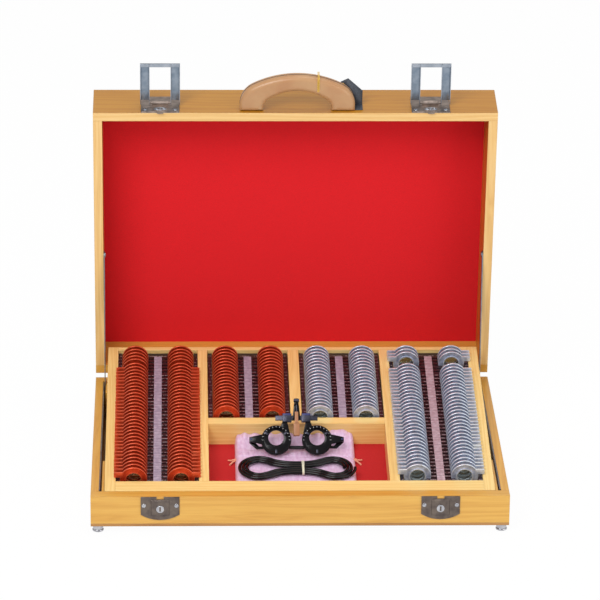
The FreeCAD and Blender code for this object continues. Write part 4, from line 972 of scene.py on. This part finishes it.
def make_pouch():
    shape = bmesh.new()
    across, along = 120, 90
    rows = []
    for j in range(along + 1):
        s = POUCH_FRONT + (POUCH_REAR - POUCH_FRONT) * j / along
        row = []
        for i in range(across + 1):
            x = POUCH_LEFT + (POUCH_RIGHT - POUCH_LEFT) * i / across
            row.append(shape.verts.new((x, s, pouch_height(x, s))))
        rows.append(row)
    for low, high in zip(rows, rows[1:]):
        for i in range(across):
            shape.faces.new([low[i], low[i + 1], high[i + 1], high[i]])
    edge = [e for e in shape.edges if e.is_boundary]
    skirt = bmesh.ops.extrude_edge_only(shape, edges=edge)["geom"]
    for vert in skirt:
        if isinstance(vert, bmesh.types.BMVert):
            vert.co.z = POUCH_FLOOR + 0.1
    cloth = to_mesh(shape)
    bag = piece("satin_pouch", [cloth], SATIN, "base", IN_TRAY, ["pouch"], "pouch_satin", 80)
    for side, name in SIDES:
        x = POUCH_LEFT if side < 0 else POUCH_RIGHT
        for end, run in DRAWSTRING_ENDS.items():
            points = [(x + side * out, HEM_S + back, POUCH_FLOOR + up) for out, back, up in run]
            line("drawstring_%s_%s" % (name, end), points, 1.2, PEACH_CORD, "base", IN_TRAY)


# Trial frame

FRAME_LEAN = 45.0
FRAME_X = -1.0
FRAME_S = 129.0
CELL_X = 29.0
CELL_V = 21.5
CELL_R = 21.5
CELL_T = 6.0
KNURLS = 44
BAR_V = 54.0
FRAME_UP = POUCH_TOP + 0.3 + CELL_T / 2 * sin(radians(FRAME_LEAN))
IN_FRAME = IN_TRAY @ at(FRAME_X, FRAME_S, FRAME_UP) @ swing(FRAME_LEAN, "X")


def flip(outline):
    return [(-x, y) for x, y in reversed(outline)]


def make_cell(side, name):
    """Lens cell with its knurled ring, graduated face, clips, slide, arm and hinge block."""
    def across(outline):
        return outline if side > 0 else flip(outline)
    half = CELL_T / 2
    x = CELL_X * side
    middle = at(x, CELL_V)
    window = circle(x, CELL_V + 4.0, 11.0, 40)
    back = plate([circle(x, CELL_V, CELL_R - 0.6, 48), window], -half, -0.2, 0.5)
    wall = lathe([(17.5, -0.2), (17.5, half - 0.5), (18.0, half), (20.6, half), (CELL_R, half - 0.8),
                  (CELL_R, -half + 0.8), (20.6, -half), (18.5, -half), (17.5, -0.2)], 56)
    parts = [back, (wall, middle)]
    tooth = plate([rectangle(-0.7, 0.7, -0.35, 0.35)], -1.6, 1.6, 0.2, 1)
    parts += [(tooth, middle @ swing(360 * k / KNURLS) @ at(0, CELL_R - 0.35)) for k in range(KNURLS)]
    slide = plate([across(rectangle(7.0, 20.0, BAR_V - 6.0, BAR_V + 6.0))], -3.5, 3.5, 0.7)
    upright = plate([across([(9.5, 32.0), (13.0, 48.5), (20.0, 48.5), (23.0, 40.0)])], -1.5, 1.5, 0.5)
    arm = plate([across([(47.5, 15.5), (67.0, 20.0), (67.0, 26.0), (47.5, 30.5)])], -1.5, 1.5, 0.5)
    level = -half - 3.0 if side > 0 else -half - 3.0 - 1.6 - 1.5
    block = plate([across(rectangle(63.0, 67.0, 20.0, 26.0))], level, -1.2, 0.4)
    parts += [upright, arm, block]
    body = "trial_" + name
    piece("cell_" + name, parts, BLACK_GLOSS, body, IN_FRAME, ["trial_cell_" + name], "frame_black")
    piece("slide_" + name, [slide], SLIDE_NICKEL, body, IN_FRAME)
    # Painted reflection: a violet-blue cap on each slide's top stands for the bluish light it reflects.
    cap = plate([across(rectangle(7.6, 19.4, BAR_V + 3.2, BAR_V + 6.4))], -3.0, 3.7, 0.6)
    piece("slide_reflection_cap_" + name, [cap], BLUE_PLASTIC_AND_REFLECTION, body, IN_FRAME)
    clip = plate([rectangle(-1.5, 1.5, 14.2, 19.5)], half - 0.2, half + 0.6, 0.25)
    clips = [(clip, middle @ swing(angle)) for angle in (-55, 55, 180)]
    marks = plate([rectangle(-0.2, 0.2, 18.3, 20.2)], half, half + 0.08, 0.03, 1)
    piece("cell_clips_" + name, clips, SLIDE_NICKEL, body, IN_FRAME)
    piece("cell_scale_" + name, [(marks, middle @ swing(i * 15 - 90))
                                 for i in range(13)], WHITE_MARK, body, IN_FRAME)
    screw = lathe([(0, 0.7), (0.9, 0.6), (1.4, 0), (0, 0)], 20)
    piece("arm_screw_" + name, [(screw, at(side * 64.5, 23.0, 1.5))], BLUE_PLASTIC_AND_REFLECTION, body, IN_FRAME)
    temple = across([(67.0, 20.0), (67.0, 26.0), (63.0, 26.0), (53.0, 15.0), (-16.0, 15.0), (-16.0, 22.0),
                     (-20.0, 22.0), (-20.0, 11.0), (57.0, 11.0)])
    piece("temple_" + name, [plate([temple], level - 1.6, level, 0.4)], BLACK_GLOSS, body, IN_FRAME,
          ["trial_temple_" + name], "frame_black")


def make_trial_frame():
    make_cell(1, "right")
    make_cell(-1, "left")
    bar = plate([rectangle(-30.0, 30.0, 50.5, 57.5)], -1.5, 1.5, 0.4)
    prongs = [(-6.0, 50.5), (-3.2, 76.0), (3.2, 76.0), (6.0, 50.5), (3.0, 50.5), (0.0, 68.0), (-3.0, 50.5)]
    fork = plate([prongs], 1.4, 3.0, 0.4)
    head = plate([rectangle(-3.2, 3.2, 72.0, 76.0)], 1.5, 7.2, 0.5)
    piece("frame_bar", [bar], SLIDE_NICKEL, "trial_frame", IN_FRAME, ["trial_frame_bar"], "frame_nickel")
    piece("frame_fork", [fork, head], BLACK_GLOSS, "trial_frame", IN_FRAME)

    stem = plate([rectangle(-2.5, 2.5, 44.0, 62.0)], 3.3, 6.7, 0.6)
    spade = [(-4.5, 27.0), (4.5, 27.0), (4.5, 44.0), (2.5, 47.0), (-2.5, 47.0), (-4.5, 44.0)]
    pad = plate([spade], 3.3, 6.7, 0.9)
    saddle = plate([rectangle(-4.3, 4.3, 27.2, 30.5)], -0.2, 6.4, 1.0)
    piece("nose_pad", [stem, pad, saddle], NOSE_BROWN, "nose_rest", IN_FRAME,
          ["trial_nose_rest"], "nose_plastic")

    spin = at(0, 0, 5.0) @ swing(-90, "X")
    outline = []
    for k in range(60):
        radius = 4.0 if k % 3 else 3.6
        outline.append((radius * cos(pi * k / 30), radius * sin(pi * k / 30)))
    knob = plate([outline], 76.3, 80.8, 0.5)
    dome = lathe([(0, 81.3), (1.6, 81.2), (2.6, 80.7), (0, 80.7)], 24)
    spindle = lathe([(0, 53.0), (1.05, 53.0), (1.05, 76.5), (0, 76.5)], 20)
    piece("nose_screw_knob", [(knob, spin), (dome, spin), (spindle, spin)], SLIDE_NICKEL, "knob", IN_FRAME,
          ["trial_knob"], "frame_nickel")


# Stage and light

def backdrop_material():
    """Matt white paper sweep, which the camera and reflections see as white while it keeps its shadow."""
    material, tree, shader = start_material("white_paper", Roughness=0.9)
    fibre = add(tree, "TexNoise", {"Vector": object_place(tree), "Scale": 40.0, "Detail": 3.0})
    tone = add(tree, "ValToRGB", {"Fac": fibre}, stops=[(0.3, "#F4F4F4"), (0.7, "#F8F8F8")])
    tree.links.new(tone, shader.inputs["Base Color"])
    path = add(tree, "LightPath").node.outputs
    seen = add(tree, "Math", {0: path["Is Camera Ray"], 1: path["Is Glossy Ray"]},
               operation="MAXIMUM")
    seen = add(tree, "Math", {0: seen, 1: path["Is Transmission Ray"]},
               operation="MAXIMUM")
    share = add(tree, "Math", {0: seen, 1: 0.97}, operation="MULTIPLY")
    white = add(tree, "Emission", {"Color": "#FFFFFF", "Strength": 1.0})
    mixed = add(tree, "MixShader", {"Fac": share, 1: shader.outputs["BSDF"],
                                    2: white})
    tree.links.new(mixed, tree.nodes["Material Output"].inputs["Surface"])
    return material


def make_stage():
    mesh = bpy.data.meshes.new("floor")
    reach = 12.0
    mesh.from_pydata([(-reach, -reach, 0), (reach, -reach, 0), (reach, reach, 0), (-reach, reach, 0)], [],
                     [(0, 1, 2, 3)])
    mesh.materials.append(backdrop_material())
    floor = bpy.data.objects.new("floor", mesh)
    bpy.context.scene.collection.objects.link(floor)

    world = bpy.data.worlds.new("studio")
    bpy.context.scene.world = world
    world.use_nodes = True
    tree = world.node_tree
    sky = tree.nodes["Background"]
    sky.inputs["Color"].default_value = linear("#FFFFFF")
    path = add(tree, "LightPath").node.outputs
    seen = add(tree, "Math", {0: path["Is Camera Ray"], 1: path["Is Transmission Ray"]},
               operation="MAXIMUM")
    strength = add(tree, "MapRange", {"Value": seen, "To Min": 0.55, "To Max": 1.0})
    tree.links.new(strength, sky.inputs["Strength"])


def add_lamp(name, place, size, power):
    """Soft square lamp aimed at the middle of the case."""
    lamp = bpy.data.lights.new(name, "AREA")
    lamp.size = size
    lamp.energy = power
    thing = bpy.data.objects.new(name, lamp)
    aim = Vector((0, 0, 0.2)) - Vector(place)
    thing.matrix_world = at(*place) @ aim.to_track_quat("-Z", "Y").to_matrix().to_4x4()
    bpy.context.scene.collection.objects.link(thing)


def make_lights():
    add_lamp("key_lamp", (-1.2, -2.2, 2.6), 1.6, 60)
    add_lamp("fill_lamp", (2.2, -1.8, 1.4), 2.0, 22)
    add_lamp("top_lamp", (0.3, 0.4, 2.8), 1.6, 14)


bpy.context.scene.view_settings.view_transform = "Standard"
make_camera()
make_hank()
make_tie()
finish_nodes()
make_lenses()
make_feet()
make_locks()
make_latches()
make_handle()
make_tag()
make_pouch()
make_trial_frame()
make_stage()
make_lights()
